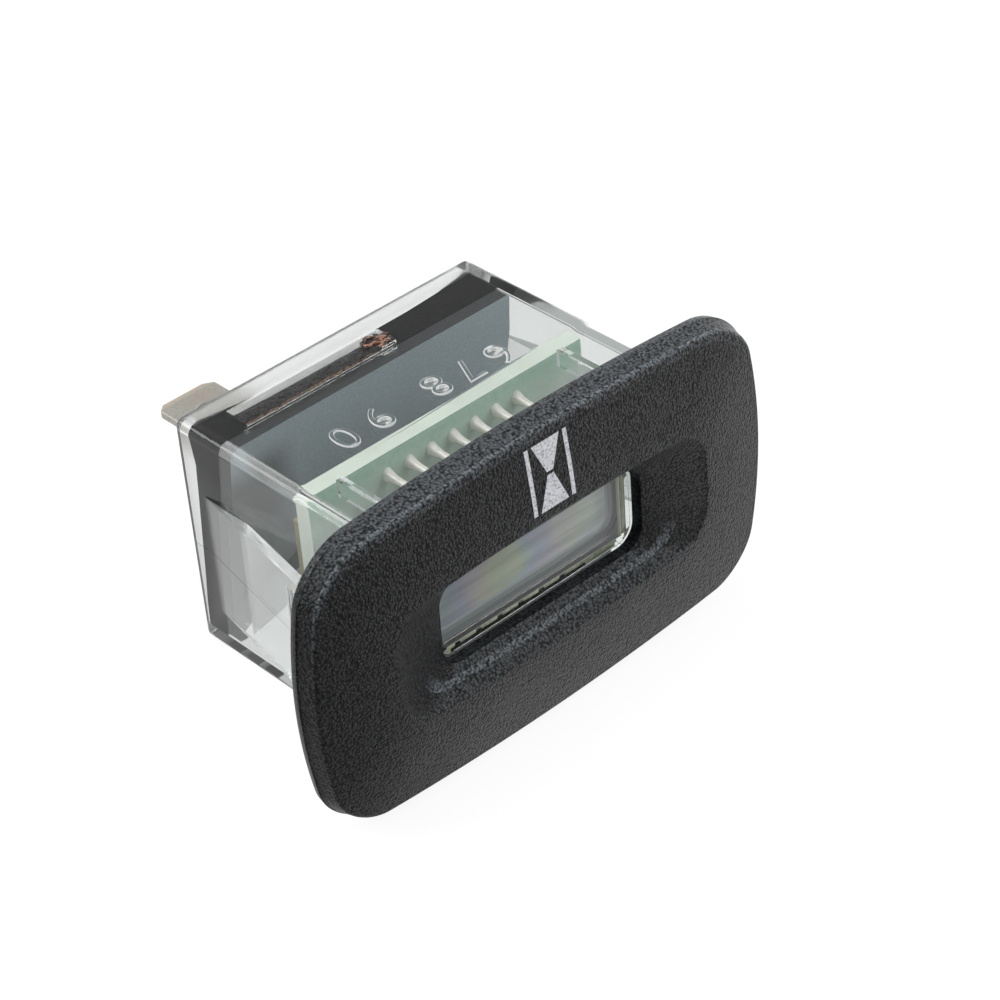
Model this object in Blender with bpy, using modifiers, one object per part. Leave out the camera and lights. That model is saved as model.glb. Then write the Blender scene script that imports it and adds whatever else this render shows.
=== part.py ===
"""Snap-in hour meter for a rectangular panel cut-out.

Frame: +Z is up, the window looks along -Y and +X is to the viewer's right.
The origin is the centre of the panel plane, which the bezel's rear rim
touches. The clear case reaches back from it along +Y.
All lengths are in metres and written as so many mm.
"""

import math

import bmesh
import bpy
from mathutils import Matrix, Vector

mm = 0.001

# Bezel, measured over its outline and back from the panel plane
bezel_width = 53.9 * mm
bezel_height = 31.3 * mm
bezel_side_bow = 2.0 * mm
bezel_top_bow = 1.25 * mm
bezel_corner = 4.8 * mm
bezel_rim_depth = 2.6 * mm
bezel_crown = 1.05 * mm
bezel_crown_power = 1.3
bezel_lip_depth = 0.8 * mm
bezel_lip_draft = 0.15 * mm
bezel_parting_step = 0.1 * mm
bezel_side_draft = 0.35 * mm
bezel_ridge_radius = 0.4 * mm
bezel_rim_wall = 2.0 * mm
bezel_cover_wall = 1.3 * mm

# Dished recess and the window at its bottom
recess_width = 36.9 * mm
recess_height = 13.2 * mm
recess_side_bow = 0.4 * mm
recess_top_bow = 0.8 * mm
recess_corner = 3.0 * mm
recess_depth = 2.1 * mm
recess_edge_round = 0.3 * mm
window_width = 23.9 * mm
window_height = 8.7 * mm
window_corner = 2.1 * mm
window_wall = 1.1 * mm
shelf_border_x = 2.6 * mm
shelf_border_z = 1.6 * mm

# Clear case, whose front part is a little slimmer than its rear part
body_width = 34.8 * mm
body_height = 24.2 * mm
body_depth = 25.3 * mm
body_corner = 0.9 * mm
body_step = 0.3 * mm
case_wall = 1.2 * mm
case_inner_corner = 0.5 * mm
case_rim_round = 0.35 * mm
front_wall = 1.5 * mm
flange_sink = 0.15 * mm
lens_gap = 0.28 * mm
lens_rise = 0.45 * mm
lens_edge_round = 0.15 * mm

# Snap tongues on both sides of the case
tongue_height = 12.7 * mm
tongue_centre_z = -1.05 * mm
tongue_thickness = 1.0 * mm
tongue_root_from_rear = 2.7 * mm
tongue_flare = math.radians(9.8)
tongue_tip_from_panel = 1.4 * mm
tongue_nose_length = 5.0 * mm
tongue_nose_fall = 0.6 * mm
tooth_count = 11
tooth_pitch = 0.6 * mm
tooth_depth = 0.3 * mm
tooth_start_from_tip = 7.5 * mm
tooth_border = 1.2 * mm

# Stand-off ribs inside the case, in front of the board
rib_spread = 25.8 * mm
rib_thickness = 0.8 * mm
rib_height = 1.6 * mm

# Circuit board
board_setback = 9.1 * mm
board_thickness = 1.6 * mm
board_play = 0.45 * mm

# Liquid crystal display and its pins
lcd_width = 24.8 * mm
lcd_centre_z = 0.7 * mm
lcd_setback = 1.0 * mm
lcd_glass = 1.1 * mm
lcd_film = 0.2 * mm
lcd_film_gap = 0.05 * mm
lcd_ledge = 1.35 * mm
lcd_film_border = 0.35 * mm
pin_count = 7
pin_pitch = 2.54 * mm
pin_row_spacing = 15.24 * mm
pin_width = 0.5 * mm
pin_thickness = 0.25 * mm
pin_play = 0.1 * mm
pin_grip = 1.0 * mm
pin_past_board = 0.8 * mm
pin_hole = 1.1 * mm

# Rear closure: a carrier plate that leans back towards its foot, then potting
carrier_from_rear = 6.8 * mm
carrier_thickness = 1.5 * mm
carrier_lean = 0.12
potting_from_rear = 2.2 * mm
potting_lean = 0.09
potting_corner_climb = 1.1 * mm
cast_gap = 0.1 * mm

# Slot in the top wall that the potting rises into
slot_length = 17.3 * mm
slot_width = 2.75 * mm
slot_centre_x = -4.95 * mm
slot_from_rear = 3.85 * mm
slot_fill_below_skin = 0.6 * mm
bead_length = 2.1 * mm
bead_round = 0.25 * mm

# Quarter-inch blade terminals
blade_width = 6.35 * mm
blade_thickness = 0.8 * mm
blade_tip_thickness = 0.4 * mm
blade_reach = 10.1 * mm
blade_tip_chamfer = 0.9 * mm
blade_hole = 2.3 * mm
blade_hole_from_tip = 3.9 * mm
blade_offset_x = 9.45 * mm
blade_height_z = 5.8 * mm
leg_width = 3.0 * mm
leg_pin_width = 1.2 * mm
leg_pin_z = -2.5 * mm
leg_bend = 1.0 * mm
leg_cover = 0.6 * mm
leg_past_board = 0.8 * mm
leg_hole = 2.1 * mm

# Components on the board's rear face, low down where the case hides them
chip_lift = 0.25 * mm
lead_sheet = 0.15 * mm
lead_reach = 0.9 * mm
lead_width_ratio = 0.4
controller_place = (-2.6 * mm, 0.6 * mm)
controller_size = (9.0 * mm, 5.4 * mm, 1.8 * mm)
controller_lead_count = 7
memory_place = (5.4 * mm, 1.6 * mm)
memory_size = (4.9 * mm, 3.9 * mm, 1.5 * mm)
memory_lead_count = 4
capacitor_z = 2.3 * mm
capacitor_from_side = 1.4 * mm
capacitor_size = (4.3 * mm, 7.3 * mm, 2.9 * mm)
capacitor_round = 0.2 * mm
crystal_place = (-2.6 * mm, -4.6 * mm)
crystal_size = (6.2 * mm, 1.9 * mm, 1.9 * mm)
crystal_round = 0.7 * mm
diode_z = 2.0 * mm
diode_from_side = 1.9 * mm
diode_from_foot = 0.7 * mm
diode_size = (2.6 * mm, 4.3 * mm, 2.1 * mm)
diode_round = 0.15 * mm
resistor_count = 3
resistor_first_x = 2.4 * mm
resistor_pitch = 2.2 * mm
resistor_z = -4.4 * mm
resistor_size = (1.5 * mm, 3.1 * mm, 0.6 * mm)
resistor_round = 0.08 * mm
solder_gap = 0.15 * mm

# Clearance between pieces that touch on the real meter
clearance = 0.3 * mm

# Mesh fineness
side_steps = 8
corner_steps = 6
ridge_steps = 3
face_steps = 5

# Levels along Y that follow from the sizes above
front_level = -(bezel_rim_depth + bezel_crown)
window_level = front_level + recess_depth
shelf_level = window_level + window_wall
pocket_level = -(bezel_rim_depth - bezel_cover_wall)
flange_front = pocket_level + clearance
flange_rear = -flange_sink
case_front = shelf_level + clearance
cavity_front = case_front + front_wall
lens_front = case_front - lens_rise
lcd_front = cavity_front + lcd_setback
board_rear = board_setback + board_thickness
slot_centre_y = body_depth - slot_from_rear

# Half sizes of the case's inside and of the board in it
cavity_half_x = body_width / 2 - case_wall
cavity_half_z = body_height / 2 - case_wall
board_half_x = cavity_half_x - board_play
board_half_z = cavity_half_z - board_play


def clear_scene():
    """Remove every object that is in the scene already."""
    for item in list(bpy.data.objects):
        bpy.data.objects.remove(item, do_unlink=True)


def new_collection(name):
    """Make a collection and link it to the scene."""
    group = bpy.data.collections.new(name)
    bpy.context.scene.collection.children.link(group)
    return group


def material(name, colour, roughness, metallic=0.0, transmission=0.0, ior=1.5):
    """Make a Principled material from plain values."""
    made = bpy.data.materials.new(name)
    made.use_nodes = True
    shader = made.node_tree.nodes["Principled BSDF"]
    shader.inputs["Base Color"].default_value = (*colour, 1.0)
    shader.inputs["Roughness"].default_value = roughness
    shader.inputs["Metallic"].default_value = metallic
    shader.inputs["Transmission Weight"].default_value = transmission
    shader.inputs["IOR"].default_value = ior
    made.diffuse_color = (*colour, 1.0)
    return made


def outline(half_x, half_z, corner, bow_x=0.0, bow_z=0.0):
    """Rounded rectangle in X and Z whose sides may bulge outwards.

    The half sizes are taken at the middle of the sides. Points run
    counter-clockwise, with as many on each outline, so that any two of
    them can be lofted.
    """
    base_x = half_x - bow_x
    base_z = half_z - bow_z
    corner = min(corner, 0.95 * base_x, 0.95 * base_z)
    centres = [(1, 1), (-1, 1), (-1, -1), (1, -1)]
    arcs = []
    for quarter, (sign_x, sign_z) in enumerate(centres):
        centre_x = sign_x * (base_x - corner)
        centre_z = sign_z * (base_z - corner)
        arc = []
        for step in range(corner_steps + 1):
            angle = math.pi / 2 * (quarter + step / corner_steps)
            x = centre_x + corner * math.cos(angle)
            z = centre_z + corner * math.sin(angle)
            arc.append((x, z))
        arcs.append(arc)
    points = []
    for quarter in range(4):
        points += arcs[quarter]
        start = arcs[quarter][-1]
        end = arcs[(quarter + 1) % 4][0]
        for step in range(1, side_steps):
            share = step / side_steps
            x = start[0] + (end[0] - start[0]) * share
            z = start[1] + (end[1] - start[1]) * share
            points.append((x, z))
    bulged = []
    for x, z in points:
        grow_x = 1 + bow_x / base_x * (1 - (z / base_z) ** 2)
        grow_z = 1 + bow_z / base_z * (1 - (x / base_x) ** 2)
        bulged.append((x * grow_x, z * grow_z))
    return bulged


def ring(flat, level):
    """Place an outline at a level along Y. The level may be a function."""
    placed = []
    for x, z in flat:
        y = level(x, z) if callable(level) else level
        placed.append(Vector((x, y, z)))
    return placed


def between(first, second, share):
    """Blend two outlines point by point."""
    mixed = []
    for a, b in zip(first, second):
        x = a[0] + (b[0] - a[0]) * share
        z = a[1] + (b[1] - a[1]) * share
        mixed.append((x, z))
    return mixed


def scaled(flat, share):
    """Shrink an outline towards the axis."""
    return [(x * share, z * share) for x, z in flat]


def loft(rings, closed):
    """Skin a row of rings. A closed row joins up, an open one gets caps."""
    shape = bmesh.new()
    rows = [[shape.verts.new(point) for point in points] for points in rings]
    pairs = list(zip(rows, rows[1:]))
    if closed:
        pairs.append((rows[-1], rows[0]))
    for lower, upper in pairs:
        count = len(lower)
        for index in range(count):
            after = (index + 1) % count
            corners = (lower[index], lower[after], upper[after], upper[index])
            shape.faces.new(corners)
    if not closed:
        shape.faces.new(rows[0])
        shape.faces.new(rows[-1])
    bmesh.ops.recalc_face_normals(shape, faces=shape.faces)
    return shape


def add_mesh(name, shape, finish, group, smooth=True):
    """Turn a bmesh into a named object in a collection."""
    mesh = bpy.data.meshes.new(name)
    shape.to_mesh(mesh)
    shape.free()
    item = bpy.data.objects.new(name, mesh)
    group.objects.link(item)
    if finish is not None:
        mesh.materials.append(finish)
    if smooth:
        mesh.shade_smooth()
        mesh.set_sharp_from_angle(angle=math.radians(30))
    return item


def box_shape(low, high):
    """A closed box between two corners."""
    shape = bmesh.new()
    bmesh.ops.create_cube(shape, size=1.0)
    low = Vector(low)
    high = Vector(high)
    size = high - low
    stretch = Matrix.Diagonal((size.x, size.y, size.z, 1.0))
    bmesh.ops.transform(shape, matrix=stretch, verts=shape.verts)
    bmesh.ops.translate(shape, vec=(low + high) / 2, verts=shape.verts)
    return shape


def rod_shape(centre, diameter, length, sides=24):
    """A closed cylinder whose axis runs along Y."""
    shape = bmesh.new()
    bmesh.ops.create_cone(
        shape,
        cap_ends=True,
        segments=sides,
        radius1=diameter / 2,
        radius2=diameter / 2,
        depth=length,
    )
    turn = Matrix.Rotation(math.pi / 2, 4, "X")
    bmesh.ops.transform(shape, matrix=turn, verts=shape.verts)
    bmesh.ops.translate(shape, vec=centre, verts=shape.verts)
    return shape


def merged(shapes):
    """Gather separate closed shapes into one bmesh."""
    whole = bmesh.new()
    for shape in shapes:
        piece = bpy.data.meshes.new("piece")
        shape.to_mesh(piece)
        shape.free()
        whole.from_mesh(piece)
        bpy.data.meshes.remove(piece)
    return whole


def prism_shape(points, low_z, high_z):
    """Extrude an outline drawn in X and Y from one height to another."""
    shape = bmesh.new()
    floor = [shape.verts.new((x, y, low_z)) for x, y in points]
    bottom = shape.faces.new(floor)
    raised = bmesh.ops.extrude_face_region(shape, geom=[bottom])
    tops = [item for item in raised["geom"] if isinstance(item, bmesh.types.BMVert)]
    bmesh.ops.translate(shape, vec=(0, 0, high_z - low_z), verts=tops)
    bmesh.ops.recalc_face_normals(shape, faces=shape.faces)
    return shape


def combine(item, tool, how):
    """Join a tool to a piece, or cut it away, with a live modifier."""
    step = item.modifiers.new(f"{how.lower()}_{tool.name}", "BOOLEAN")
    step.operation = how
    step.solver = "EXACT"
    step.object = tool


def add_tool(name, shape, group):
    """Make a cutter or a joined-on shape, which isn't a piece itself."""
    tool = add_mesh(name, shape, None, group, smooth=False)
    tool.hide_render = True
    tool.display_type = "WIRE"
    return tool


def soften(item, width, segments=2, angle=40):
    """Round a piece's sharp edges."""
    step = item.modifiers.new("rounded_edges", "BEVEL")
    step.width = width
    step.segments = segments
    step.limit_method = "ANGLE"
    step.angle_limit = math.radians(angle)
    return step


def bezel_outline(inset):
    """The bezel's bowed outline, drawn in by an inset."""
    return outline(
        bezel_width / 2 - inset,
        bezel_height / 2 - inset,
        bezel_corner - inset,
        bezel_side_bow,
        bezel_top_bow,
    )


def shelf_outline(grow=0.0):
    """Outline of the thick border behind the window."""
    return outline(
        window_width / 2 + shelf_border_x + grow,
        window_height / 2 + shelf_border_z + grow,
        window_corner + grow,
    )


def build_bezel(finish, group):
    """Moulded bezel: bowed rim, crowned face, dished recess, window, pocket."""
    rings = [
        ring(bezel_outline(bezel_lip_draft), 0.0),
        ring(bezel_outline(0.0), -bezel_lip_depth),
        ring(bezel_outline(bezel_parting_step), -bezel_lip_depth - bezel_parting_step),
    ]
    ridge_inset = bezel_parting_step + bezel_side_draft
    ridge_level = -(bezel_rim_depth - bezel_ridge_radius)
    for step in range(ridge_steps + 1):
        angle = math.pi / 2 * step / ridge_steps
        inset = ridge_inset + bezel_ridge_radius * (1 - math.cos(angle))
        level = ridge_level - bezel_ridge_radius * math.sin(angle)
        rings.append(ring(bezel_outline(inset), level))
    face_edge = bezel_outline(ridge_inset + bezel_ridge_radius)
    recess_edge = outline(
        recess_width / 2,
        recess_height / 2,
        recess_corner,
        recess_side_bow,
        recess_top_bow,
    )
    window_edge = outline(window_width / 2, window_height / 2, window_corner)
    for step in range(1, face_steps + 1):
        share = step / face_steps
        level = -bezel_rim_depth - bezel_crown * (1 - (1 - share) ** bezel_crown_power)
        if step == face_steps:
            share -= recess_edge_round / (bezel_height / 2 - recess_height / 2)
        rings.append(ring(between(face_edge, recess_edge, share), level))
    slope_run = recess_width / 2 - window_width / 2
    share = recess_edge_round / slope_run
    rings.append(ring(between(recess_edge, window_edge, share), front_level + recess_depth * share))
    rings.append(ring(window_edge, window_level))
    rings.append(ring(window_edge, shelf_level))
    rings.append(ring(shelf_outline(), shelf_level))
    rings.append(ring(shelf_outline(), pocket_level))
    rings.append(ring(bezel_outline(bezel_rim_wall), pocket_level))
    rings.append(ring(bezel_outline(bezel_rim_wall), 0.0))
    return add_mesh("bezel", loft(rings, closed=True), finish, group)


def body_outline(grow=0.0):
    """Outer outline of the case's tube."""
    return outline(body_width / 2 + grow, body_height / 2 + grow, body_corner + grow)


def cavity_outline(inset=0.0):
    """Inner outline of the case's tube, drawn in by an inset."""
    corner = max(case_inner_corner - inset, 0.2 * case_inner_corner)
    return outline(cavity_half_x - inset, cavity_half_z - inset, corner)


def tongue_skin(y):
    """X of a snap tongue's outer face: flared out, then in at its nose."""
    root = body_depth - tongue_root_from_rear
    nose = tongue_tip_from_panel + tongue_nose_length
    flared = body_width / 2 + math.tan(tongue_flare) * (root - max(y, nose))
    return flared - tongue_nose_fall * max(nose - y, 0) / tongue_nose_length


def tongue_outline(side):
    """Plan of one snap tongue, from its root in the wall to its tip."""
    wall = body_width / 2
    root = body_depth - tongue_root_from_rear
    nose = tongue_tip_from_panel + tongue_nose_length
    tip = tongue_tip_from_panel
    gap_start = root - tongue_thickness / math.tan(tongue_flare)
    points = [
        (wall - case_wall / 2, root),
        (wall, root),
        (tongue_skin(nose), nose),
        (tongue_skin(tip), tip),
        (tongue_skin(tip) - tongue_thickness, tip),
        (tongue_skin(nose) - tongue_thickness, nose),
        (wall, gap_start),
        (wall - case_wall / 2, gap_start),
    ]
    return [(side * x, y) for x, y in points]


def tooth_grooves(side, low_z, high_z):
    """Row of notches whose steep faces look forward and grip the panel."""
    grooves = []
    for tooth in range(tooth_count):
        steep = tongue_tip_from_panel + tooth_start_from_tip - tooth * tooth_pitch
        gentle = steep - 0.9 * tooth_pitch
        floor = tongue_skin(steep) - tooth_depth
        points = [
            (side * (tongue_skin(steep) + tooth_depth), steep),
            (side * floor, steep),
            (side * (tongue_skin(gentle) + tooth_depth), gentle - 0.9 * tooth_pitch),
        ]
        grooves.append(prism_shape(points, low_z + tooth_border, high_z - tooth_border))
    return grooves


def build_case(finish, group, tools):
    """One-piece clear case: lens, flange, tube, tongues, ribs and slot."""
    lens_inset = lens_gap + lens_edge_round
    lens_small = outline(
        window_width / 2 - lens_inset, window_height / 2 - lens_inset, window_corner - lens_inset
    )
    lens_full = outline(
        window_width / 2 - lens_gap, window_height / 2 - lens_gap, window_corner - lens_gap
    )
    flange = bezel_outline(bezel_rim_wall + clearance)
    rings = [
        ring(lens_small, lens_front),
        ring(lens_full, lens_front + lens_edge_round),
        ring(lens_full, case_front),
        ring(shelf_outline(clearance), case_front),
        ring(shelf_outline(clearance), flange_front),
        ring(flange, flange_front),
        ring(flange, flange_rear),
        ring(body_outline(-body_step), flange_rear),
        ring(body_outline(-body_step), board_setback),
        ring(body_outline(), board_setback + 2 * body_step),
        ring(body_outline(), body_depth - case_rim_round),
    ]
    for step in range(1, ridge_steps + 1):
        angle = math.pi / 2 * step / ridge_steps
        inset = case_rim_round * (1 - math.cos(angle))
        level = body_depth - case_rim_round * (1 - math.sin(angle))
        rings.append(ring(body_outline(-inset), level))
    rings.append(ring(cavity_outline(), body_depth))
    rings.append(ring(cavity_outline(), cavity_front))
    case = add_mesh("clear_case", loft(rings, closed=False), finish, group)

    low_z = tongue_centre_z - tongue_height / 2
    high_z = tongue_centre_z + tongue_height / 2
    for side, word in ((-1, "left"), (1, "right")):
        shape = prism_shape(tongue_outline(side), low_z, high_z)
        combine(case, add_tool(f"tongue_{word}", shape, tools), "UNION")
        for number, groove in enumerate(tooth_grooves(side, low_z, high_z)):
            combine(case, add_tool(f"groove_{word}_{number}", groove, tools), "DIFFERENCE")

    ribs = []
    for side in (-1, 1):
        for top in (-1, 1):
            x = side * rib_spread / 2
            wall_z = top * (cavity_half_z + case_wall / 2)
            tip_z = top * (cavity_half_z - rib_height)
            low = (x - rib_thickness / 2, cavity_front - front_wall / 2, min(wall_z, tip_z))
            high = (x + rib_thickness / 2, board_setback - clearance, max(wall_z, tip_z))
            ribs.append(box_shape(low, high))
    combine(case, add_tool("board_ribs", merged(ribs), tools), "UNION")

    slot = box_shape(
        (slot_centre_x - slot_length / 2, slot_centre_y - slot_width / 2, cavity_half_z - case_wall),
        (slot_centre_x + slot_length / 2, slot_centre_y + slot_width / 2, body_height / 2 + case_wall),
    )
    combine(case, add_tool("top_slot", slot, tools), "DIFFERENCE")
    return case


def carrier_level(z):
    """Y of the carrier's front face, which leans back towards its foot."""
    return body_depth - carrier_from_rear + carrier_lean * (cavity_half_z - z)


def potting_level(x, z):
    """Y of the potting's rear surface, which climbs in the upper corners."""
    level = body_depth - potting_from_rear + potting_lean * (cavity_half_z - z)
    climb = (abs(x) / cavity_half_x) ** 4 * (abs(z) / cavity_half_z) ** 8
    return min(level + potting_corner_climb * climb, body_depth - clearance)


def terminal_path(side):
    """Middle line of a bent terminal in Y and Z, from the tip to the board.

    Each point has the strip's width and thickness there.
    """
    full = blade_thickness
    blade_z = -side * blade_height_z
    lowest = min(blade_z, leg_pin_z)
    leg_y = carrier_level(lowest) + carrier_thickness + cast_gap + leg_cover + blade_thickness / 2
    turn = math.copysign(1, leg_pin_z - blade_z)
    tip_y = body_depth + blade_reach
    end_y = board_setback - leg_past_board
    path = [
        (tip_y, blade_z, blade_width - 2 * blade_tip_chamfer, blade_tip_thickness),
        (tip_y - blade_tip_chamfer, blade_z, blade_width, full),
        (leg_y + 2 * leg_bend, blade_z, blade_width, full),
        (leg_y + leg_bend, blade_z, leg_width, full),
    ]
    bend_steps = 4
    for step in range(1, bend_steps + 1):
        angle = math.pi / 2 * step / bend_steps
        y = leg_y + leg_bend * (1 - math.sin(angle))
        z = blade_z + turn * leg_bend * (1 - math.cos(angle))
        path.append((y, z, leg_width, full))
    for step in range(bend_steps + 1):
        angle = math.pi / 2 * step / bend_steps
        y = leg_y - leg_bend * (1 - math.cos(angle))
        z = leg_pin_z - turn * leg_bend * (1 - math.sin(angle))
        width = leg_width + (leg_pin_width - leg_width) * step / bend_steps
        path.append((y, z, width, full))
    path.append((end_y, leg_pin_z, leg_pin_width, full))
    return path


def strip_shape(path, x, grow):
    """A strip of sheet that follows a path in Y and Z, as a closed solid."""
    count = len(path)
    rings = []
    for index, (y, z, width, thickness) in enumerate(path):
        before = path[max(index - 1, 0)]
        after = path[min(index + 1, count - 1)]
        along = Vector((after[0] - before[0], after[1] - before[1])).normalized()
        across = Vector((-along.y, along.x)) * (thickness / 2 + grow)
        half = width / 2 + grow
        rings.append(
            [
                Vector((x - half, y + across.x, z + across.y)),
                Vector((x + half, y + across.x, z + across.y)),
                Vector((x + half, y - across.x, z - across.y)),
                Vector((x - half, y - across.x, z - across.y)),
            ]
        )
    return loft(rings, closed=False)


def build_terminal(side, word, finish, group, tools):
    """Tinned blade with a hole near its tip, bent down to a solder leg."""
    x = side * blade_offset_x
    path = terminal_path(side)
    shape = strip_shape(path, x, 0.0)
    terminal = add_mesh(f"terminal_{word}", shape, finish, group, smooth=False)
    hole_y = body_depth + blade_reach - blade_hole_from_tip
    hole = rod_shape((0, 0, 0), blade_hole, 4 * blade_thickness)
    upright = Matrix.Rotation(math.pi / 2, 4, "X")
    bmesh.ops.transform(hole, matrix=upright, verts=hole.verts)
    bmesh.ops.translate(hole, vec=(x, hole_y, path[0][1]), verts=hole.verts)
    combine(terminal, add_tool(f"blade_hole_{word}", hole, tools), "DIFFERENCE")
    soften(terminal, 0.12 * blade_thickness, segments=1)
    room = strip_shape(path, x, cast_gap)
    return add_tool(f"terminal_room_{word}", room, tools)


def build_carrier(finish, group, rooms):
    """Leaning plate that closes the case behind the board."""
    flat = cavity_outline(cast_gap)
    rings = [
        ring(flat, lambda x, z: carrier_level(z)),
        ring(flat, lambda x, z: carrier_level(z) + carrier_thickness),
    ]
    carrier = add_mesh("terminal_carrier", loft(rings, closed=False), finish, group)
    for room in rooms:
        combine(carrier, room, "DIFFERENCE")
    return carrier


def build_potting(finish, group, tools, rooms):
    """Cast resin behind the carrier, with a rib that rises into the slot."""
    flat = cavity_outline(cast_gap)
    rings = [ring(flat, lambda x, z: carrier_level(z) + carrier_thickness + cast_gap)]
    for share in (1.0, 0.93, 0.82, 0.6, 0.3):
        rings.append(ring(scaled(flat, share), potting_level))
    potting = add_mesh("potting", loft(rings, closed=False), finish, group)
    left_x = slot_centre_x - slot_length / 2 + cast_gap
    right_x = slot_centre_x + slot_length / 2 - bead_length - cast_gap
    rib = box_shape(
        (left_x, slot_centre_y - slot_width / 2 + cast_gap, cavity_half_z - case_wall),
        (right_x, slot_centre_y + slot_width / 2 - cast_gap, body_height / 2 - slot_fill_below_skin),
    )
    combine(potting, add_tool("slot_rib", rib, tools), "UNION")
    for room in rooms:
        combine(potting, room, "DIFFERENCE")
    return potting


def build_bead(finish, group):
    """Amber resin that ran into the slot's right end and set there."""
    right_x = slot_centre_x + slot_length / 2 - cast_gap
    low = (right_x - bead_length + cast_gap, slot_centre_y - slot_width / 2 + cast_gap, cavity_half_z)
    high = (right_x, slot_centre_y + slot_width / 2 - cast_gap, body_height / 2 - slot_fill_below_skin)
    bead = add_mesh("resin_bead", box_shape(low, high), finish, group)
    soften(bead, bead_round, segments=3)
    return bead


def build_board(finish, group, tools):
    """Circuit board with the holes of the display's pins and the legs."""
    low = (-board_half_x, board_setback, -board_half_z)
    high = (board_half_x, board_rear, board_half_z)
    shape = box_shape(low, high)
    board = add_mesh("circuit_board", shape, finish, group, smooth=False)
    middle = board_setback + board_thickness / 2
    holes = []
    for x in pin_places():
        for top in (-1, 1):
            centre = (x, middle, lcd_centre_z + top * pin_row_spacing / 2)
            holes.append(rod_shape(centre, pin_hole, 3 * board_thickness, sides=12))
    for side in (-1, 1):
        centre = (side * blade_offset_x, middle, leg_pin_z)
        holes.append(rod_shape(centre, leg_hole, 3 * board_thickness, sides=16))
    combine(board, add_tool("board_holes", merged(holes), tools), "DIFFERENCE")
    return board


def pin_places():
    """X of each display pin."""
    return [(index - (pin_count - 1) / 2) * pin_pitch for index in range(pin_count)]


def display_levels():
    """Front and rear Y of each layer of the display."""
    levels = {}
    y = lcd_front
    layers = (
        ("lcd_front_polariser", lcd_film),
        ("lcd_front_glass", lcd_glass),
        ("lcd_rear_glass", lcd_glass),
        ("lcd_reflector", lcd_film),
    )
    for name, thickness in layers:
        levels[name] = (y, y + thickness)
        y += thickness + lcd_film_gap
    return levels


def build_display(finishes, group):
    """The display's stack: polariser, two glasses and the reflector foil."""
    tall = pin_row_spacing / 2 - pin_thickness / 2 - pin_play
    short = tall - lcd_ledge
    half = lcd_width / 2
    sizes = {
        "lcd_front_polariser": (half - lcd_film_border, short - lcd_film_border),
        "lcd_front_glass": (half, short),
        "lcd_rear_glass": (half, tall),
        "lcd_reflector": (half - lcd_film_border, short - lcd_film_border),
    }
    for name, (front, rear) in display_levels().items():
        half_x, half_z = sizes[name]
        low = (-half_x, front, lcd_centre_z - half_z)
        high = (half_x, rear, lcd_centre_z + half_z)
        add_mesh(name, box_shape(low, high), finishes[name], group, smooth=False)


def pin_outline():
    """Side view of one pin, as points in Y and Z above the display's middle.

    The pin is a fork that grips the rear glass's edge, with a straight
    tail that runs back through the board.
    """
    front, rear = display_levels()["lcd_rear_glass"]
    tall = pin_row_spacing / 2 - pin_thickness / 2
    inner_front = front - pin_play
    inner_rear = rear + pin_play
    outer_front = inner_front - pin_thickness
    outer_rear = inner_rear + pin_thickness
    top = tall + pin_thickness
    foot = tall - pin_grip
    tail = board_rear + pin_past_board
    return [
        (outer_front, foot),
        (inner_front, foot),
        (inner_front, tall),
        (inner_rear, tall),
        (inner_rear, foot),
        (outer_rear, foot),
        (outer_rear, tall),
        (tail - pin_thickness / 2, tall),
        (tail, tall + pin_thickness / 2),
        (tail - pin_thickness / 2, top),
        (outer_front, top),
    ]


def build_pins(finish, group, root):
    """Two rows of forked pins, each pin a flat outline with a thickness."""
    drawing = bpy.data.curves.new("lcd_pin", "CURVE")
    drawing.dimensions = "2D"
    drawing.fill_mode = "BOTH"
    drawing.extrude = pin_width / 2
    spline = drawing.splines.new("POLY")
    points = pin_outline()
    spline.points.add(len(points) - 1)
    for place, (y, z) in zip(spline.points, points):
        place.co = (y, z, 0, 1)
    spline.use_cyclic_u = True
    drawing.materials.append(finish)
    upright = Matrix(((0, 0, 1), (1, 0, 0), (0, 1, 0))).to_4x4()
    flipped = Matrix.Rotation(math.pi, 4, "Y") @ upright
    rows = (("top", upright), ("bottom", flipped))
    for word, turn in rows:
        for number, x in enumerate(pin_places(), start=1):
            pin = bpy.data.objects.new(f"lcd_pin_{word}_{number}", drawing)
            group.objects.link(pin)
            pin.matrix_world = Matrix.Translation((x, 0, lcd_centre_z)) @ turn
            pin.parent = root


def on_board(place, size):
    """Corners of a component on the board: place in X and Z, size in X, Z and Y."""
    x, z = place
    width, height, tall = size
    base = board_rear + solder_gap
    low = (x - width / 2, base, z - height / 2)
    high = (x + width / 2, base + tall, z + height / 2)
    return low, high


def build_block(name, place, size, rounding, finish, group):
    """A small rounded component."""
    low, high = on_board(place, size)
    block = add_mesh(name, box_shape(low, high), finish, group, smooth=False)
    soften(block, rounding, segments=1)


def lead_outline(edge, top, sole):
    """Side view of a gull-wing lead in Y and Z, from inside the body to its toe."""
    shoulder = sole + 2 * chip_lift
    knee = edge + top * lead_reach / 2
    toe = edge + top * lead_reach
    inside = edge - top * lead_reach / 2
    return [
        (shoulder, inside),
        (shoulder, knee - top * lead_sheet),
        (sole, knee - top * lead_sheet),
        (sole, toe),
        (sole + lead_sheet, toe),
        (sole + lead_sheet, knee),
        (shoulder + lead_sheet, knee),
        (shoulder + lead_sheet, inside),
    ]


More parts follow.
